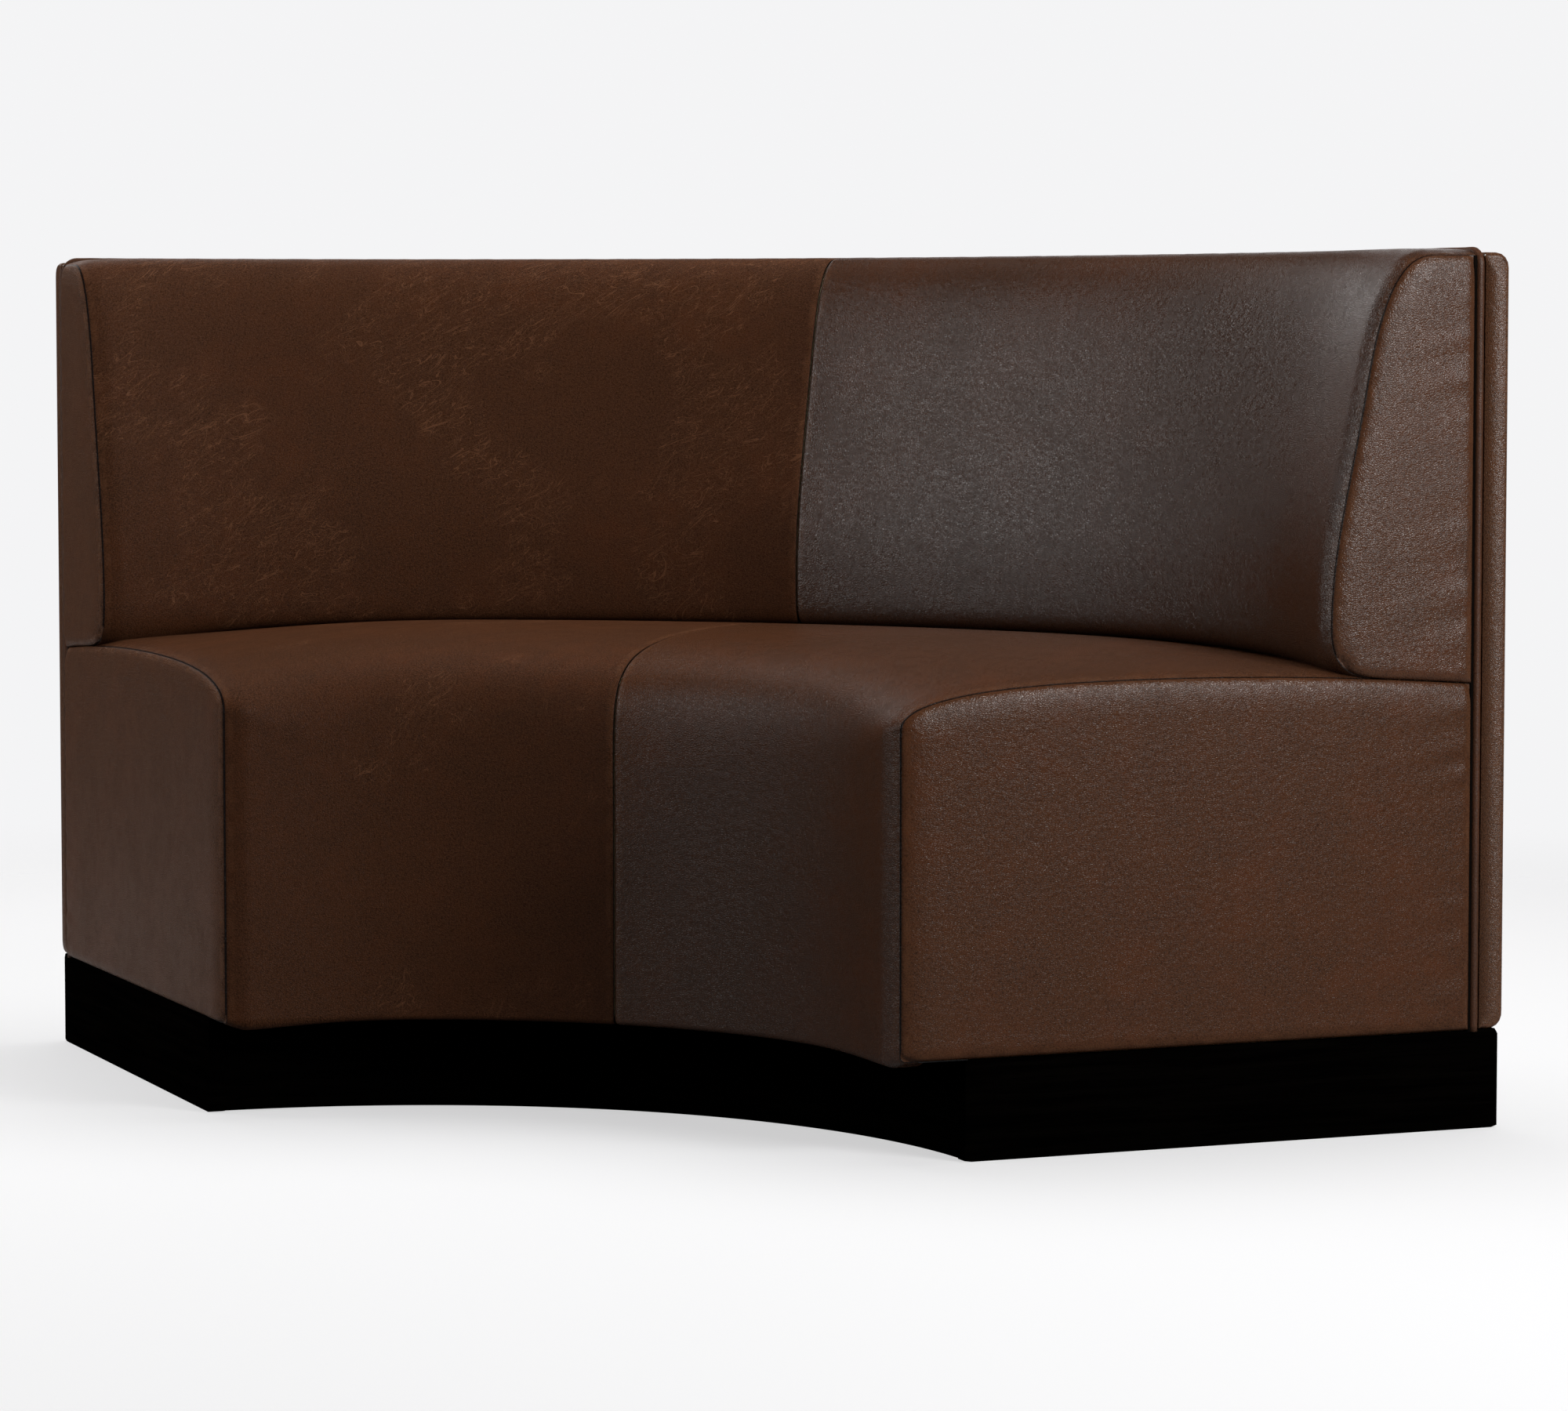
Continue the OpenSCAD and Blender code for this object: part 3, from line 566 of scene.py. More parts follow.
# shaded copies of one hide: each half's base and warm colours are darkened by its own amount from
# the hide's, to match how bright it looks under the lamps, which paints shade into the colour
looks = {
    "BackLeft": hideLook | {
        "rough": 0.38, "specular": 0.035, "shift": (3.1, 0.4, 1.7), "creases": 0.8,
        "base": (0.036, 0.0128, 0.0050), "warm": (0.054, 0.0153, 0.0048),
    },
    "BackRight": hideLook | {
        "rough": 0.26, "specular": 0.76, "shift": (-2.2, 5.0, 0.3), "highlightFlecks": 0.36,
        "angle": -0.5, "grainDepth": 0.5, "creases": 0.2, "creaseDepth": 0.0,
        "lineShare": 0.12, "mottle": 0.3, "cloudy": 0.03,
        "base": (0.030, 0.0115, 0.0050), "warm": (0.045, 0.0140, 0.0049),
    },
    "SeatLeft": hideLook | {
        "rough": 0.38, "specular": 0.05, "shift": (1.3, -4.1, 2.9), "angle": 0.9,
        "base": (0.036, 0.0128, 0.0051), "warm": (0.0535, 0.0153, 0.0049),
    },
    "SeatRight": hideLook | {
        "rough": 0.27, "specular": 0.3, "shift": (-5.4, 1.9, -1.2), "angle": -0.8,
        "grainDepth": 0.5, "creases": 0.3, "creaseDepth": 0.05, "lineShare": 0.25,
        "base": (0.044, 0.0160, 0.0065), "warm": (0.065, 0.0188, 0.0062),
    },
    "EndLeft": endLook | {
        # on the left ends a high rub share paints a highlight line along the seams, and the light
        # colour brighter painted highlight flecks
        "rough": 0.34, "specular": 0.12, "shift": (5.0, 2.0, 0.5), "rubAndHighlight": 0.7, "ridge": 0.004,
        "light": (0.105, 0.045, 0.022),
    },
    "EndRight": endLook | {
        "rough": 0.21, "specular": 0.125, "grainDepth": 0.35, "shift": (8.0, -1.0, 0.5),
    },
    "EndTop": endLook | {
        "rough": 0.25, "specular": 0.23, "grainDepth": 0.42, "shift": (-3.0, 7.0, 0.5),
    },
    "Outer": endLook | {
        "rough": 0.27, "specular": 0.32, "grainDepth": 0.42, "shift": (-9.0, 2.0, 1.5),
        # brighter painted highlight flecks on the outer panel
        "light": (0.115, 0.050, 0.024),
    },
    "Piping": hideLook | {
        "grainDepth": 0.35, "pucker": 0.2, "creases": 0.1, "rough": 0.4, "specular": 0.25,
        "shift": (4.0, 4.0, 4.0),
    },
}
hides = {name: leather("leather" + name, look) for name, look in looks.items()}
blackWood = wood("blackStainedWood", {
    "base": (0.0004, 0.0003, 0.0003), "streak": (0.0013, 0.0010, 0.0008),
    "pore": (0.0002, 0.0002, 0.0002), "stretch": 22.0, "onMap": True, "rough": 0.75,
    "specular": 0.0, "depth": 0.3,
})
plywood = wood("birchPlywood", {
    "base": (0.56, 0.39, 0.22), "streak": (0.45, 0.29, 0.15), "pore": (0.3, 0.18, 0.09),
    "stretch": 14.0, "onMap": False, "rough": 0.6, "specular": 0.35, "depth": 0.3,
})
foam = fibres("yellowFoam", (0.72, 0.62, 0.36), (0.85, 0.78, 0.52), 700, 0.9)
wadding = fibres("whiteWadding", (0.78, 0.78, 0.74), (0.88, 0.88, 0.86), 320, 0.92)
dustCloth = fibres("blackDustCloth", (0.012, 0.012, 0.013), (0.03, 0.03, 0.032), 900, 0.85)
# painted shade: near-black felt with little gloss, standing in for the groove's shade
grooveShadeFelt = fibres("grooveShadeFelt", (0.0022, 0.0015, 0.0012), (0.0050, 0.0036, 0.0028), 900, 0.95, 0.03)
zincSteel = steel("zincSteel")
print("materials made")


# padding: a sheet of leather settles over its foam

settle = {
    "frames": 20,
    "pressure": 4.0,
    "cap": 0.006,  # most that a point of a cover may move
    "endCap": 0.002,  # and of an end panel
    "ease": -0.018,  # spare leather gathered into the seams
    "levels": 20,  # steps of the weights
}


def settleSheet(name, points, hold, gather, cap):
    # cloth run on the sheet: seams held, foam as soft springs, light pressure from inside.
    # Returns the points after the run, none moved further than the cap.
    rows, columns = points.shape[:2]
    sheet = makeMesh(name + "Sheet", points, [gridFaces(rows, columns)])
    levels = settle["levels"]
    for label, weights in (("hold", hold), ("gather", gather)):
        group = sheet.vertex_groups.new(name=label)
        steps = np.clip(np.round(weights.ravel() * levels), 0, levels).astype(int)
        for step in np.unique(steps):
            group.add(np.nonzero(steps == step)[0].tolist(), step / levels, "REPLACE")
    cloth = sheet.modifiers.new("cloth", "CLOTH")
    for key, value in {
        "quality": 6,
        "mass": 0.5,
        "tension_stiffness": 25,
        "compression_stiffness": 25,
        "shear_stiffness": 12,
        "bending_stiffness": 0.8,
        "vertex_group_mass": "hold",
        "pin_stiffness": 4,
        "use_pressure": True,
        "uniform_pressure_force": settle["pressure"],
        "vertex_group_shrink": "gather",
        "shrink_min": 0.0,
        "shrink_max": settle["ease"],
    }.items():
        setattr(cloth.settings, key, value)
    cloth.settings.effector_weights.gravity = 0
    cloth.collision_settings.use_collision = False
    cloth.collision_settings.use_self_collision = False
    cloth.point_cache.frame_start = 1
    cloth.point_cache.frame_end = settle["frames"]
    scene = bpy.context.scene
    for number in range(1, settle["frames"] + 1):
        scene.frame_set(number)
    shown = sheet.evaluated_get(bpy.context.evaluated_depsgraph_get())
    moved = np.empty(rows * columns * 3, np.float32)
    shown.data.vertices.foreach_get("co", moved)
    mesh = sheet.data
    bpy.data.objects.remove(sheet)
    bpy.data.meshes.remove(mesh)
    scene.frame_set(1)
    way = moved.reshape(points.shape) - points
    size = np.linalg.norm(way, axis=-1, keepdims=True)
    print("  settled", name, "by up to", round(float(size.max()) * 1000, 2), "mm")
    return points + way * np.minimum(1, cap / np.maximum(size, 1e-9))


def columnShares(width, middleSteps, endSteps, pitch):
    # columns across one half as shares of its width in mm: steps from the middle seam, an even
    # pitch, and steps up to the end seam
    low, high = np.array(middleSteps), width - np.array(endSteps)[::-1]
    count = int(round((high[0] - low[-1]) / pitch))
    between = np.linspace(low[-1], high[0], count + 1)[1:-1]
    return np.concatenate([low, between, high]) / width


cover = {
    "width": 628,  # mm, of the grid across one half
    "middleSteps": (0, 0.5, 1.1, 1.9, 3.0, 4.5, 7.0, 10.5, 15),
    "endSteps": (0, 0.5, 1.1, 1.9, 3.0, 4.4, 6.2, 8.4, 11, 14, 18),
    "pitch": 6.5,
    "gap": 0.00035,  # half the gap at the middle seam
    "foldDepth": 0.0022,  # how deep the leather turns in at the middle seam
    "foldWidth": 0.0045,
    "rollHeight": 0.0086,  # swell beside the end seams
    "rollWidth": 0.023,
    "rollFade": 0.10,
    "topShare": 0.5,  # of that swell, on the level parts
    "hide": 0.002,
    "innerStep": 6,  # columns of the outer side to one of the inner
    "foam": 0.35,  # how firmly the foam holds the sheet
    "held": 0.012,  # width of the strips that the cloth run holds
    "gathered": 0.05,
    "puckerDepth": 0.0009,
    "puckerReach": 0.010,
    "puckerPitch": 0.022,
    "flat": 0.003,  # puckers start this far from the seam
    "paler": 0.0007,  # shifts the painted shade line of the back's end seams, making it paler
}


def coverPoints(line, share, side):
    # Section lines (columns, points, 2) swept over one half. Beside the middle seam the leather
    # turns in as depth (1 - d/width)^2, and beside the end seam it swells as
    # height (1 - (1 - d/width)^1.45) e^-(d/fade)^2, with d the distance to the seam, less where
    # the section runs level. Returns the points and the distances to the two seams.
    r = line[..., 0]
    first = np.arcsin(cover["gap"] / r)
    last = half - np.arcsin(bench["seamDepth"] / r)
    t = mix(first, last, share[:, None])
    toMiddle = (t - first) * r
    toEnd = (last - t) * r
    fold = cover["foldDepth"] * near(toMiddle, cover["foldWidth"]) ** 2
    level = np.clip(sectionNormals(line)[..., 1], 0, 1) ** 2
    swell = cover["rollHeight"] * mix(1, cover["topShare"], level)
    swell *= 1 - near(toEnd, cover["rollWidth"]) ** 1.45
    swell *= np.exp(-((toEnd / cover["rollFade"]) ** 2))
    moved = line + sectionNormals(line) * (swell - fold)[..., None]
    return around(moved[..., 0], moved[..., 1], side * t), toMiddle, toEnd


def pucker(points, line, toEnd, side, seed):
    # small gathers beside the end seam: irregular bumps along it that die out as e^-(d/reach)
    waves = ripple(lineLength(line), seed, cover["puckerPitch"]) ** 1.5
    fade = np.exp(-toEnd / cover["puckerReach"]) * (1 - near(toEnd, cover["flat"]))
    height = cover["puckerDepth"] * waves * fade
    return points + surfaceNormals(points, side) * height[..., None]


def closedCover(name, points, side, uv, seam):
    # shell: the outer grid, an inner grid of every n-th column one hide deeper, and at the two
    # open ends small faces between an inner edge and the n outer edges beside it
    inner = points - surfaceNormals(points, side) * cover["hide"]
    last = points.shape[1] - 1
    keep = np.unique(np.append(np.arange(0, last, cover["innerStep"]), last))
    whole, wholeUv, wholeSeam = (
        np.concatenate([outside, inside[:, keep][:, ::-1]], 1)
        for outside, inside in ((points, inner), (uv, uv), (seam, seam))
    )
    rows, columns = whole.shape[:2]
    faces = gridFaces(rows, columns, closed=True)
    rims = []
    for row in (0, rows - 1):
        for number, (a, b) in enumerate(zip(keep[:-1], keep[1:])):
            edge = [columns - 2 - number, columns - 1 - number]
            face = np.concatenate([np.arange(a, b + 1), edge]) + row * columns
            rims.append((face if row else face[::-1])[None])
    if side > 0:
        faces = faces[:, ::-1]
        rims = [face[:, ::-1] for face in rims]
    return makeMesh(name, whole, [faces, *rims], wholeUv, wholeSeam)


seatPad = {
    "edgeR": 0.006,
    "swell": 0.009,  # middle of the front past its ends
    "crownH": 0.0295,
    "reach": math.radians(25),
    "crestBack": 0.300,
    "noseDrop": (0.044, 0.127),  # at the ends and in the middle
    "noseRise": (0.70, 0.80),
    "noseRun": (0.66, 0.98),
    "rearDrop": (0.006, 0.014),
    "flangeR": 0.5637,
    "points": (3, 7, 44, 52, 38),  # flange, edge, wall, nose and rear
}


def seatTop(r, c):
    # height of the seat behind its crest: the crest less the drop times the share squared
    crestR = bench["frontR"] - seatPad["swell"] * c + seatPad["crestBack"]
    crestZ = bench["seatH"] + seatPad["crownH"] * c
    run = (r - crestR) / (bench["tuckR"] - crestR)
    return crestZ - mix(*seatPad["rearDrop"], c) * run**2


def seatLine(c, endR=bench["tuckR"]):
    # flange, rounded lower edge, front wall, nose curve and top, for each crown share c
    f = bench["frontR"] - seatPad["swell"] * c
    z0, e = bench["underZ"], seatPad["edgeR"]
    counts = seatPad["points"]
    crest = pair(f + seatPad["crestBack"], bench["seatH"] + seatPad["crownH"] * c)
    low = pair(f, crest[:, 1] - mix(*seatPad["noseDrop"], c))
    flange = pair(mix(seatPad["flangeR"], (f + e)[:, None], evenly(counts[0])), z0)
    a = evenly(counts[1], np.pi / 2)
    edge = pair(f[:, None] + e - e * np.sin(a), z0 + e - e * np.cos(a))
    wall = pair(f[:, None], mix(z0 + e, low[:, 1:], evenly(counts[2])))
    pull1 = pair(f, mix(low[:, 1], crest[:, 1], mix(*seatPad["noseRise"], c)))
    pull2 = pair(mix(crest[:, 0], f, mix(*seatPad["noseRun"], c)), crest[:, 1])
    nose = bezier(low, pull1, pull2, crest, np.linspace(0, 1, counts[3]))
    s = np.linspace(0, 1, counts[4] + 1)[None, 1:]
    r = mix(crest[:, :1], endR, s)
    return np.concatenate([flange, edge, wall, nose, pair(r, seatTop(r, c[:, None]))], 1)


backPad = {
    "hollow": 0.010,  # how much shallower the middle is
    "crownH": 0.0075,
    "reach": math.radians(9),
    "creviceGap": 0.0008,
    "rollH": (0.050, 0.056),
    "rollPull": (0.65, 0.93),
    "lean": 0.041,
    "topDrop": 0.124,
    "topDepth": 0.079,
    "topRise": (0.98, 0.64),
    "topRun": (0.27, 0.53),
    "slope": (0.181, 0.238),
    "facePull": (0.33, 0.5),
    "points": (16, 34, 34, 8),  # lower roll, face, top roll and flat top
}


def backLine(cs, cb):
    # lower roll, face, top roll and flat top, for seat crown share cs and back crown share cb
    counts = backPad["points"]
    gap = backPad["creviceGap"]
    face = bench["faceR"] + backPad["hollow"] * cb
    start = pair(bench["tuckR"], seatTop(bench["tuckR"], cs) + gap)
    stop = pair(face, start[:, 1] + mix(*backPad["rollH"], cs))
    pull = mix(*backPad["rollPull"], cs)
    r = mix(start[:, 0], stop[:, 0], pull)
    bent = pair(stop[:, 0], mix(stop[:, 1], start[:, 1], pull))
    roll = bezier(start, pair(r, seatTop(r, cs) + gap), bent, stop, evenly(counts[0]))
    high = pair(face + backPad["lean"], bench["backH"] - backPad["topDrop"] + 0 * cb)
    crest = pair(high[:, 0] + backPad["topDepth"], bench["backH"] + backPad["crownH"] * cb)
    slope = pair(mix(*backPad["slope"], cb), 1.0)
    rise = (high[:, 1] - stop[:, 1])[:, None]
    low = stop + rise * np.array([0, backPad["facePull"][0]])
    pulled = high - slope * rise * backPad["facePull"][1]
    front = bezier(stop, low, pulled, high, evenly(counts[1]))
    up = high + slope * ((crest[:, 1] - high[:, 1]) * mix(*backPad["topRise"], cb))[:, None]
    over = pair(mix(crest[:, 0], high[:, 0], mix(*backPad["topRun"], cb)), crest[:, 1])
    top = bezier(high, up, over, crest, np.linspace(0, 1, counts[2]))
    s = np.linspace(0, 1, counts[3] + 1)[None, 1:]
    flat = pair(mix(crest[:, :1], bench["cushionRearR"], s), crest[:, 1:])
    return np.concatenate([roll, front, top, flat], 1)


def makeCover(kind, end, line, side, seed, material, paler=0.0):
    # one half: sweep, settle, gather along the end seam, close, smooth
    name = kind + "Cover_" + end
    points, toMiddle, toEnd = coverPoints(line, shares, side)
    s = lineLength(line)
    toRim = np.minimum(s, s[:, -1:] - s)
    seam = np.minimum(toMiddle, toEnd + paler)
    hold = np.minimum(cover["foam"] + near(np.minimum(seam, toRim), cover["held"]), 1)
    gather = near(toEnd, cover["gathered"]) ** 1.2
    points = settleSheet(name, points, hold, gather, settle["cap"])
    points = pucker(points, line, toEnd, side, seed)
    uv = np.stack([np.broadcast_to(toMiddle, s.shape), s], -1)
    piece = closedCover(name, points, side, uv, seam)
    smooth = piece.modifiers.new("smooth", "SUBSURF")
    smooth.levels = smooth.render_levels = 1
    place(piece, kind + "_leather", material, kind + "_cover_" + end)


shares = columnShares(cover["width"], cover["middleSteps"], cover["endSteps"], cover["pitch"])
seatCrown, backCrown = (crown((1 - shares) * half, pad["reach"]) for pad in (seatPad, backPad))
for side, end in sides:
    hand = end.capitalize()
    makeCover("seat", end, seatLine(seatCrown), side, 11 + side, hides["Seat" + hand])
    makeCover("back", end, backLine(seatCrown, backCrown), side, 21 + side, hides["Back" + hand],
              cover["paler"])
print("covers made")


# end panels

endPad = {
    "edge": 0.032,  # width of the rolled edge at the front and top
    "sharp": 2.6,  # how much narrower it is at the bottom and the piping
    "rise": 0.0062,  # height of the flat past the end face
    "swell": 0.0010,  # further rise towards the middle
    "swellReach": 0.06,
    "near": (0, 0.4, 1, 1.8, 2.8, 4, 5.5, 7.2, 9, 12, 16, 22, 29),  # grid lines beside a seam, mm
    "pitch": 6.0,
    "rearR": 1.1772,  # leaves the dark groove in front of the piping
    "hem": 0.003,  # leather turned in behind the border
    "hemIn": 0.0006,
    "pull": 0.0017,  # wrinkles beside the piping
    "pullPitch": 0.03,
    "pullGroup": 0.16,
    "pullReach": 0.035,
    "gather": 0.0006,  # puckers along the seams
    "gatherPitch": 0.021,
    "gatherReach": 0.013,
    "foam": 0.5,  # how firmly the foam holds the sheet
    "tuck": (24, 0.0001, 0.004),  # points, gap and run where the back's end meets the seat's
}


def edgeShares(width):
    # shares of a width in mm, close together at both ends
    steps = np.array(endPad["near"])
    count = int((width - 2 * steps[-1]) / endPad["pitch"])
    between = np.linspace(steps[-1], width - steps[-1], count + 1)[1:-1]
    return np.concatenate([steps, between, (width - steps)[::-1]]) / width


def splitCorner(line, slope):
    # a line cut in two where it turns past a slope in degrees
    step = np.diff(line, axis=0)
    turn = np.degrees(np.arctan2(step[:, 1], step[:, 0]))
    cut = int(np.argmin(np.abs(turn - slope))) + 1
    return line[: cut + 1], line[cut:]


def distanceTo(line, points):
    # shortest distance from each point to a line's segments
    a, b = line[:-1], line[1:]
    way = b - a
    flat = points.reshape(-1, 1, 2)
    share = ((flat - a) * way).sum(-1) / np.maximum((way**2).sum(-1), 1e-12)
    gap = flat - a - np.clip(share, 0, 1)[..., None] * way
    return np.sqrt((gap**2).sum(-1)).min(-1).reshape(points.shape[:-1])


def endPanel(name, lines, side, seed, material, node):
    # A patch between four border lines: the sum of the two ruled surfaces less the bilinear one
    # through the corners. It rises past the end face as rise (1 - a^2)^0.5 + swell
    # (1 - e^-(d/reach)), with a the cube root of the sum of (1 - d/edge)^3 over the soft and the
    # sharp borders. Pull wrinkles run in from the piping and puckers along the seams.
    bottom, top, front, rear = lines
    bottomS, topS, frontS, rearS = (lineLength(line)[-1] for line in lines)
    # grid lines by the mean lengths of the borders in mm
    long, tall = edgeShares(500 * (bottomS + topS)), edgeShares(500 * (frontS + rearS))
    u, v = long[:, None, None], tall[None, :, None]
    low, high = alongLine(bottom, long), alongLine(top, long)
    fore, aft = alongLine(front, tall), alongLine(rear, tall)
    flat = (1 - v) * low[:, None] + v * high[:, None] + (1 - u) * fore[None] + u * aft[None]
    flat -= (1 - u) * ((1 - v) * low[0] + v * high[0]) + u * ((1 - v) * low[-1] + v * high[-1])
    toSoft = np.minimum(distanceTo(fore, flat), distanceTo(high, flat))
    toSharp = np.minimum(distanceTo(aft, flat), distanceTo(low, flat))
    d = np.minimum(toSoft, toSharp)
    # the two distances meet smoothly where a soft edge runs into a sharp one
    soft, sharp = (near(gap, endPad["edge"]) for gap in (toSoft, toSharp * endPad["sharp"]))
    inset = np.minimum((soft**3 + sharp**3) ** (1 / 3), 1)
    sunk = bench["seamDepth"]
    height = -sunk + (sunk + endPad["rise"]) * np.sqrt(1 - inset**2)
    height += endPad["swell"] * (1 - np.exp(-d / endPad["swellReach"]))
    points = onEnd(flat[..., 0], flat[..., 1], height, side)
    hold = np.minimum(endPad["foam"] + near(d, cover["held"]), 1)
    points = settleSheet(name, points, hold, near(d, cover["gathered"]), settle["endCap"])
    toRear = endPad["rearR"] - flat[..., 0]
    waves = ripple(flat[..., 1] + 0.2 * toRear, seed, endPad["pullPitch"]) - 0.5
    waves *= 0.3 + ripple(flat[..., 1], seed + 3, endPad["pullGroup"])
    waves *= np.exp(-toRear / endPad["pullReach"]) * (1 - near(d, 2 * cover["flat"]))
    puckers = ripple(flat.sum(-1), seed + 5, endPad["gatherPitch"]) ** 1.6
    puckers *= np.exp(-d / endPad["gatherReach"]) * (1 - near(d, cover["flat"]))
    extra = endPad["pull"] * waves + endPad["gather"] * puckers
    points += extra[..., None] * np.array([side * math.cos(half), -math.sin(half), 0])
    # the border's own points, once round, and the hem behind them
    rows, columns = d.shape
    count = rows * columns
    edge = np.concatenate([
        np.arange(rows) * columns,
        (rows - 1) * columns + np.arange(1, columns),
        np.arange(rows - 2, -1, -1) * columns + columns - 1,
        np.arange(columns - 2, 0, -1),
    ])
    rim = flat.reshape(-1, 2)[edge]
    inward = rim + closedNormals(rim) * endPad["hemIn"]
    back = onEnd(inward[:, 0], inward[:, 1], np.full(len(rim), -sunk - endPad["hem"]), side)
    loop = count + np.arange(len(edge))
    ring = np.stack([edge, np.roll(edge, -1), np.roll(loop, -1), loop], -1)
    piece = makeMesh(name, np.concatenate([points.reshape(-1, 3), back]),
                     [gridFaces(rows, columns), ring, loop[None]],
                     np.concatenate([flat.reshape(-1, 2), rim]),
                     np.concatenate([d.ravel(), 0 * rim[:, 0]]))
    tidyMesh(piece)
    place(piece, "end_leather", material, node)


def seatBorders():
    # bottom, top, front and rear line of the seat's end, from its own section
    flange, edge = seatPad["points"][0], seatPad["points"][1] // 2
    rise = seatLine(zero, endPad["rearR"])[0][flange:]
    front, upper = splitCorner(rise[edge:], 45)
    corner = [[endPad["rearR"], bench["underZ"]]]
    lower = np.concatenate([[front[0]], rise[:edge][::-1], corner])
    return lower, upper, front, np.array([lower[-1], upper[-1]])


def backBorders():
    # the same of the back's end, whose bottom follows the seat: the gap closes behind the tuck
    rearR, roll = endPad["rearR"], backPad["points"][0]
    steps, gap, run = endPad["tuck"]
    r = np.linspace(rearR, bench["tuckR"], steps)
    z = seatTop(r, 0.0) + mix(gap, backPad["creviceGap"], np.exp((bench["tuckR"] - r) / run))
    rise = backLine(zero, zero)[0]
    foot, rest = splitCorner(rise[:roll], 135)
    rise[:, 0] = np.minimum(rise[:, 0], rearR)
    front, upper = splitCorner(np.concatenate([rest, rise[roll:]]), 45)
    lower = np.concatenate([pair(r, z), foot[1:]])[::-1]
    return lower, upper, front, np.array([lower[-1], upper[-1]])


zero = np.zeros(1)
seatEdges, backEdges = seatBorders(), backBorders()
for side, end in sides:
    low, high = (hides["EndLeft"],) * 2 if side < 0 else (hides["EndRight"], hides["EndTop"])
    endPanel("seatEndPanel_" + end, seatEdges, side, 31 + side, low, "seat_end_panel_" + end)
    endPanel("backEndPanel_" + end, backEdges, side, 41 + side, high, "back_end_panel_" + end)
print("end panels made")


# outer back panel, piping and plinth

outer = {
    "inR": 1.19035,
    "lowZ": 0.1039,
    "edgeR": 0.015,  # upper and lower outer edges
    "innerR": 0.0008,  # edges beside the piping
    "innerSkin": 0.0005,  # points this close to the inner side belong to it
    "endR": 0.005,  # upright corners at the ends
    "pitch": 0.006,
    "steps": 150,
}


def roundedLoop(r0, r1, z0, z1, corners, pitch, arcSteps=8):
    # closed section line of points at an even pitch, anticlockwise from the lower inner corner;
    # corners are four radii
    a = np.linspace(0, np.pi / 2, arcSteps)
    parts = []
    places = ((r0, z0, np.pi), (r1, z0, 1.5 * np.pi), (r1, z1, 0), (r0, z1, np.pi / 2))
    for q, (cr, cz, turn) in zip(corners, places):
        centre = np.array([cr + (q if cr == r0 else -q), cz + (q if cz == z0 else -q)])
        parts.append(centre + q * np.stack([np.cos(a + turn), np.sin(a + turn)], -1))
    loop = np.concatenate([*parts, parts[0][:1]])
    return alongLine(loop, evenly(int(lineLength(loop)[-1] / pitch)))


def sweepBoard(name, loop, inset, edge, steps, endSteps=5):
    # A closed section carried round the turn between planes set in from the end faces. Near
    # each end the section shrinks as edge - (edge^2 - (edge - d)^2)^0.5, which rounds it, but
    # not on its inner side.
    gaps = edge * (1 - np.cos(np.linspace(0, np.pi / 2, endSteps)))
    shrinks = edge - np.sqrt(np.maximum(edge**2 - (edge - gaps) ** 2, 0))
    normals = closedNormals(loop) * (loop[:, :1] > loop[:, 0].min() + outer["innerSkin"])
    ends = []
    for gap, shrink in zip(gaps, shrinks):
        r, z = (loop + normals * shrink).T
        ends.append((r, z, half - np.arcsin((inset + gap) / r)))
    reach = half - np.arcsin((inset + edge) / loop[:, 0])
    rows = [around(r, z, -t) for r, z, t in ends]
    rows += [around(*loop.T, s * reach) for s in np.linspace(-1, 1, steps)[1:-1]]
    rows += [around(r, z, t) for r, z, t in ends[::-1]]
    points = np.array(rows)
    count = len(loop)
    total = len(rows) * count
    uv = gridMap(lineLength(points[:, 0]), lineLength(loop))
    faces = gridFaces(len(rows), count, closed=True)
    caps = [capFaces(count, total, False), capFaces(count, total + count, True)]
    points = np.concatenate([points, points[:1], points[-1:]])
    uv = np.concatenate([uv, [loop], [loop + 3]])  # the caps lie apart on the map
    piece = makeMesh(name, points, [faces, *caps], uv, noSeam(points))
    tidyMesh(piece)
    return piece


outerCorners = tuple(outer[key] for key in ("innerR", "edgeR", "edgeR", "innerR"))
outerLoop = roundedLoop(outer["inR"], bench["outerR"], outer["lowZ"], bench["panelH"],
                        outerCorners, outer["pitch"])
outerPanel = sweepBoard("outerBackPanel", outerLoop, 0.0, outer["endR"], outer["steps"])
place(outerPanel, "outer_leather", hides["Outer"], "outer_back_cover")

pipe = {
    "radius": 0.00495,
    "depth": 0.00345,  # centre line behind the end faces
    "corner": 0.014,
    "topZ": 0.90785,
    "lowZ": 0.1015,
    "lump": 0.05,  # share of the radius by which it thins between the lumps
    "lumpPitch": 0.03,
    "sides": 16,
    "steps": (110, 10, 240),  # points up an end, in a corner and along the top
    "lining": (1.1764, 1.1808, 0.0013, 0.00172),  # radii and depths behind the end faces
    "liningTop": 0.9036,
    "liningSteps": 60,
}


def pipingPath():
    # up the right end, round a corner, along the top and down the left end
    r, corner, depth = bench["pipingR"], pipe["corner"], pipe["depth"]
    cornerZ = pipe["topZ"] - corner
    upSteps, bendSteps, topSteps = pipe["steps"]
    rise = onEnd(r, np.linspace(pipe["lowZ"], cornerZ, upSteps), -depth, 1)
    a = np.linspace(0, np.pi / 2, bendSteps)[1:-1]
    bend = onEnd(r, cornerZ + corner * np.sin(a), -depth - corner * (1 - np.cos(a)), 1)
    reach = half - math.asin((depth + corner) / r)
    top = around(r, pipe["topZ"], np.linspace(reach, -reach, topSteps))
    right = np.concatenate([rise, bend])
    return np.concatenate([right, top, (right * [-1, 1, 1])[::-1]])


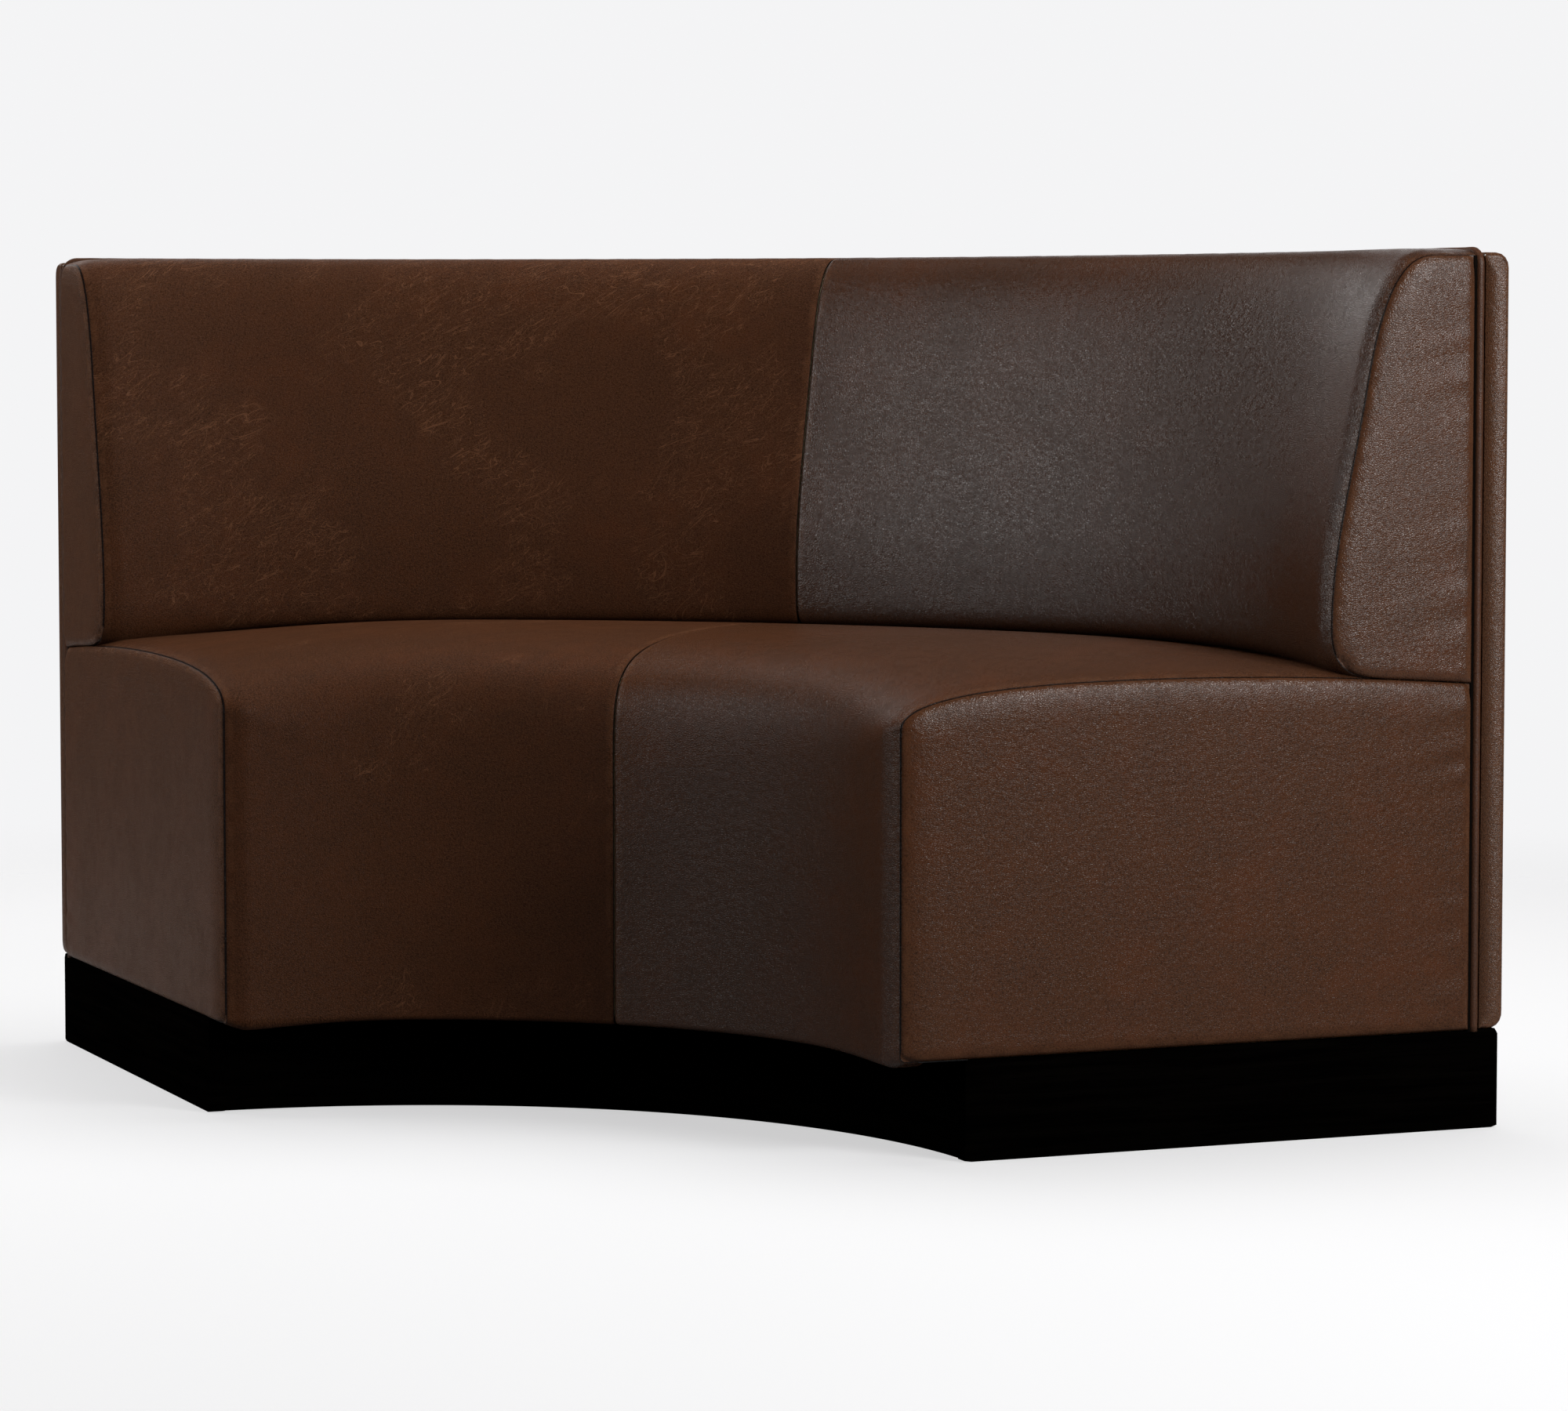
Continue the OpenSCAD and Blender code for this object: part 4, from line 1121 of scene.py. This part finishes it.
def makePiping():
    # a circle carried along the path, with slight lumps where the cord is sewn in
    path = pipingPath()
    along = unit(np.gradient(path, axis=0))
    out = path * [1, 1, 0] - [0, bench["turnY"], 0]
    side = unit(out - along * (out * along).sum(-1, keepdims=True))
    up = np.cross(along, side)
    s = lineLength(path)
    a = evenly(pipe["sides"], 2 * np.pi)
    lumps = pipe["radius"] * (1 - pipe["lump"] * ripple(s, 5, pipe["lumpPitch"]))
    circle = side[:, None] * np.cos(a)[:, None] + up[:, None] * np.sin(a)[:, None]
    rings = path[:, None] + lumps[:, None, None] * circle
    uv = gridMap(s, a * pipe["radius"])
    piece = makeMesh("welt", rings, tubeFaces(*rings.shape[:2]), uv, noSeam(rings))
    tidyMesh(piece)
    place(piece, "piping_leather", hides["Piping"], "piping")


def makeShadeLining(end, side):
    # flat upright strip of near-black felt that closes the groove between an end panel and the
    # piping and paints the groove's shade
    r0, r1, d0, d1 = pipe["lining"]
    z = np.linspace(pipe["lowZ"], pipe["liningTop"], pipe["liningSteps"])[:, None]
    points = onEnd(np.array([[r0, r1, r1, r0]]), z, -np.array([[d0, d0, d1, d1]]), side)
    piece = makeMesh("grooveShadeLining_" + end, points, tubeFaces(*points.shape[:2]))
    tidyMesh(piece)
    place(piece, "dust_cloth", grooveShadeFelt)


makePiping()
for side, end in sides:
    makeShadeLining(end, side)

plinth = {
    "frontR": 0.6095,
    "backR": 1.2145,
    "inset": 0.002,
    "board": 0.018,
    "lap": 0.003,  # the end boards' front edges stand this far out
    "arris": 0.0012,
    "endR": 0.0005,
    "pitch": 0.008,
    "steps": 70,
    "depths": (0.0, 0.0004, 0.0012, 0.0168, 0.0176, 0.018),  # section of an end board
    "shrinks": (0.0012, 0.00035, 0.0, 0.0, 0.00035, 0.0012),
}


def plinthLoop(r0, r1):
    # outline of a board of the plinth with its arrises
    corners = (plinth["arris"],) * 4
    return roundedLoop(r0, r1, 0, bench["plinthH"], corners, plinth["pitch"], 3)


def plinthBoards():
    # two curved boards between two flat ones; a flat board is its outline carried through its
    # thickness, smaller by the shrinks at its two faces
    front, back, board = plinth["frontR"], plinth["backR"], plinth["board"]
    for name, r0, r1 in (("front", front, front + board), ("back", back - board, back)):
        curved = sweepBoard("plinth" + name.capitalize(), plinthLoop(r0, r1),
                            plinth["inset"] + board, plinth["endR"], plinth["steps"], 2)
        place(curved, "black_plinth", blackWood, "plinth_" + name)
    loop = plinthLoop(front - plinth["lap"], back)
    depths, shrinks = (np.array(plinth[key])[:, None] for key in ("depths", "shrinks"))
    line = loop + closedNormals(loop) * shrinks[..., None]
    rows, count = line.shape[:2]
    faces = [gridFaces(rows, count, closed=True), capFaces(count, 0, False),
             capFaces(count, (rows - 1) * count, True)]
    for side, end in sides:
        points = onEnd(line[..., 0], line[..., 1], -(plinth["inset"] + depths), side)
        piece = makeMesh("plinthEnd_" + end, points, faces, line, noSeam(points))
        tidyMesh(piece)
        place(piece, "black_plinth", blackWood, "plinth_end_" + end)


plinthBoards()
print("outer panel, piping and plinth made")


# hidden build: CAD nodes keep their shape and get their finish

finishes = {
    plywood: ("plinth_cross_boards", "plinth_corner_blocks", "base_board", "gable_left",
              "gable_right", "frame_rib_1", "frame_rib_2", "frame_rib_3", "frame_rib_4",
              "seat_front_board", "seat_deck", "back_board", "top_rail", "outer_back_board"),
    foam: ("seat_foam", "back_foam"),
    wadding: ("outer_back_wadding",),
    dustCloth: ("dust_cover",),
    zincSteel: ("plinth_screws",),
}
for material, names in finishes.items():
    for name in names:
        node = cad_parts[name]
        if not node.material_slots:
            node.data.materials.append(material)
        for slot in node.material_slots:
            slot.material = material
print("hidden build finished")


# studio

studio = {
    "floor": (0.75, 0.75, 0.755),
    "floorR": (0.01, 0.5, 14),  # middle, first ring and rim
    "floorSteps": (24, 64),  # rings, and points round each
    "fade": (1.7, 3.4),  # radii between which the floor fades into the backdrop
    "glow": (0.955, 0.95, 0.957),  # what the camera sees of the floor besides its shading
    "glowShare": 0.6,
    "sky": (0.905, 0.905, 0.915),
    "fill": 0.035,  # strength of the surrounding light
    "front": 0.04,  # the unlit room in front and above, in reflections
    "bounce": (0.09, 0.088, 0.085),  # floor in the light that it throws back
}


def backdropRays(tree, glossy=1.0):
    # camera, glossy and transmission rays see the pale backdrop
    path = addNode(tree, "LightPath").outputs
    share = maths(tree, "MULTIPLY", path["Is Glossy Ray"], glossy)
    seen = maths(tree, "MAXIMUM", path["Is Camera Ray"], share)
    return maths(tree, "MAXIMUM", seen, path["Is Transmission Ray"])


def mixShaders(tree, factor, a, b):
    return addNode(tree, "MixShader", {0: factor, 1: a, 2: b}).outputs[0]


def makeFloor():
    # disc, a grid of rings; it fades out into the surrounding light
    middle, first, rim = studio["floorR"]
    rings, count = studio["floorSteps"]
    ring = np.concatenate([[middle], np.geomspace(first, rim, rings)])[:, None]
    a = evenly(count, 2 * np.pi)
    points = np.stack([ring * np.cos(a), ring * np.sin(a), 0 * ring + 0 * a], -1)
    floor = makeMesh("floor", points, [gridFaces(len(ring), count, closed=True)])
    material, tree, shader = newMaterial("paleFloor", 0.1)
    shader.inputs["Roughness"].default_value = 0.85
    spot = addNode(tree, "TexCoord").outputs["Object"]
    length = addNode(tree, "VectorMath", {0: spot}, operation="LENGTH").outputs["Value"]
    colour = blend(tree, backdropRays(tree, 0.3), studio["bounce"], studio["floor"])
    feed(tree, shader.inputs["Base Color"], colour)
    glow = addNode(tree, "Emission", {"Color": studio["glow"]}).outputs[0]
    camera = addNode(tree, "LightPath").outputs["Is Camera Ray"]
    share = maths(tree, "MULTIPLY", camera, studio["glowShare"])
    pale = mixShaders(tree, share, shader.outputs[0], glow)
    clear = addNode(tree, "BsdfTransparent").outputs[0]
    shown = mixShaders(tree, remap(tree, length, *studio["fade"]), pale, clear)
    feed(tree, tree.nodes["Material Output"].inputs["Surface"], shown)
    arrange(tree)
    floor.data.materials.append(material)


def makeWorld():
    # pale backdrop all round, with the room in front dim in reflections, and an even fill
    world = bpy.data.worlds.new("studioWorld")
    bpy.context.scene.world = world
    world.use_nodes = True
    tree = world.node_tree
    way = addNode(tree, "TexCoord").outputs["Generated"]
    _, ahead, up = addNode(tree, "SeparateXYZ", {0: way}).outputs
    behind = remap(tree, ahead, 0.7, 0.95)
    low = remap(tree, up, 0.15, 0.5, 1.0, 0.0)
    backdrop = maths(tree, "MAXIMUM", maths(tree, "MULTIPLY", behind, low), studio["front"])
    camera = addNode(tree, "LightPath").outputs["Is Camera Ray"]
    seen = tree.nodes["Background"]
    feed(tree, seen.inputs["Color"], studio["sky"])
    feed(tree, seen.inputs["Strength"], maths(tree, "MAXIMUM", backdrop, camera))
    fill = addNode(tree, "Background", {"Color": (1, 1, 1), "Strength": studio["fill"]})
    shown = mixShaders(tree, backdropRays(tree), fill.outputs[0], seen.outputs[0])
    feed(tree, tree.nodes["World Output"].inputs["Surface"], shown)
    arrange(tree)


lamps = {  # azimuth, elevation, distance, width, height, watts, target, seen in reflections
    "panelLeft": (46, 20, 3.6, 2.8, 1.4, 32, (0, 0, 0.6), True),
    "sideLeft": (86, 15, 3.6, 1.6, 1.6, 52, (-0.3, 0, 0.6), False),
    "keyRight": (-70, 18, 4.0, 1.8, 1.9, 78, (0, 0, 0.6), True),
    "kicker": (-70, 22, 3.8, 0.9, 0.45, 56, (0.4, 0, 0.6), True),
    "farLeft": (124, 28, 3.6, 2.0, 1.4, 12, (0.2, 0, 0.5), True),
    "overhead": (180, 80, 3.0, 3.4, 2.6, 128, (0, 0.4, 0.4), False),
}


def softbox(name, azimuth, elevation, distance, width, height, watts, target, glossy):
    # area lamp seen from the target at an azimuth left of -Y (positive) and an elevation
    data = bpy.data.lights.new(name, "AREA")
    data.shape = "RECTANGLE"
    data.size, data.size_y = width, height
    data.energy = watts
    lamp = bpy.data.objects.new(name, data)
    bpy.context.collection.objects.link(lamp)
    a, e = math.radians(azimuth), math.radians(elevation)
    way = np.array([-math.sin(a) * math.cos(e), -math.cos(a) * math.cos(e), math.sin(e)])
    lamp.location = np.array(target) + way * distance
    lamp.rotation_euler = Vector(-way).to_track_quat("-Z", "Y").to_euler()
    lamp.visible_glossy = glossy


makeFloor()
makeWorld()
for name, values in lamps.items():
    softbox(name, *values)

view = {
    "lens": 116.26,
    "location": (2.1779, -5.0506, 0.8073),
    "down": 4.022,  # degrees below level
    "turn": 22.565,
}
camera = bpy.data.objects.new("camera", bpy.data.cameras.new("camera"))
bpy.context.collection.objects.link(camera)
camera.data.lens = view["lens"]
camera.data.sensor_width = 36
camera.data.clip_end = 100
camera.location = view["location"]
camera.rotation_euler = (math.radians(90 - view["down"]), 0, math.radians(view["turn"]))
bpy.context.scene.camera = camera
bpy.context.scene.view_settings.view_transform = "Standard"
print("studio ready")
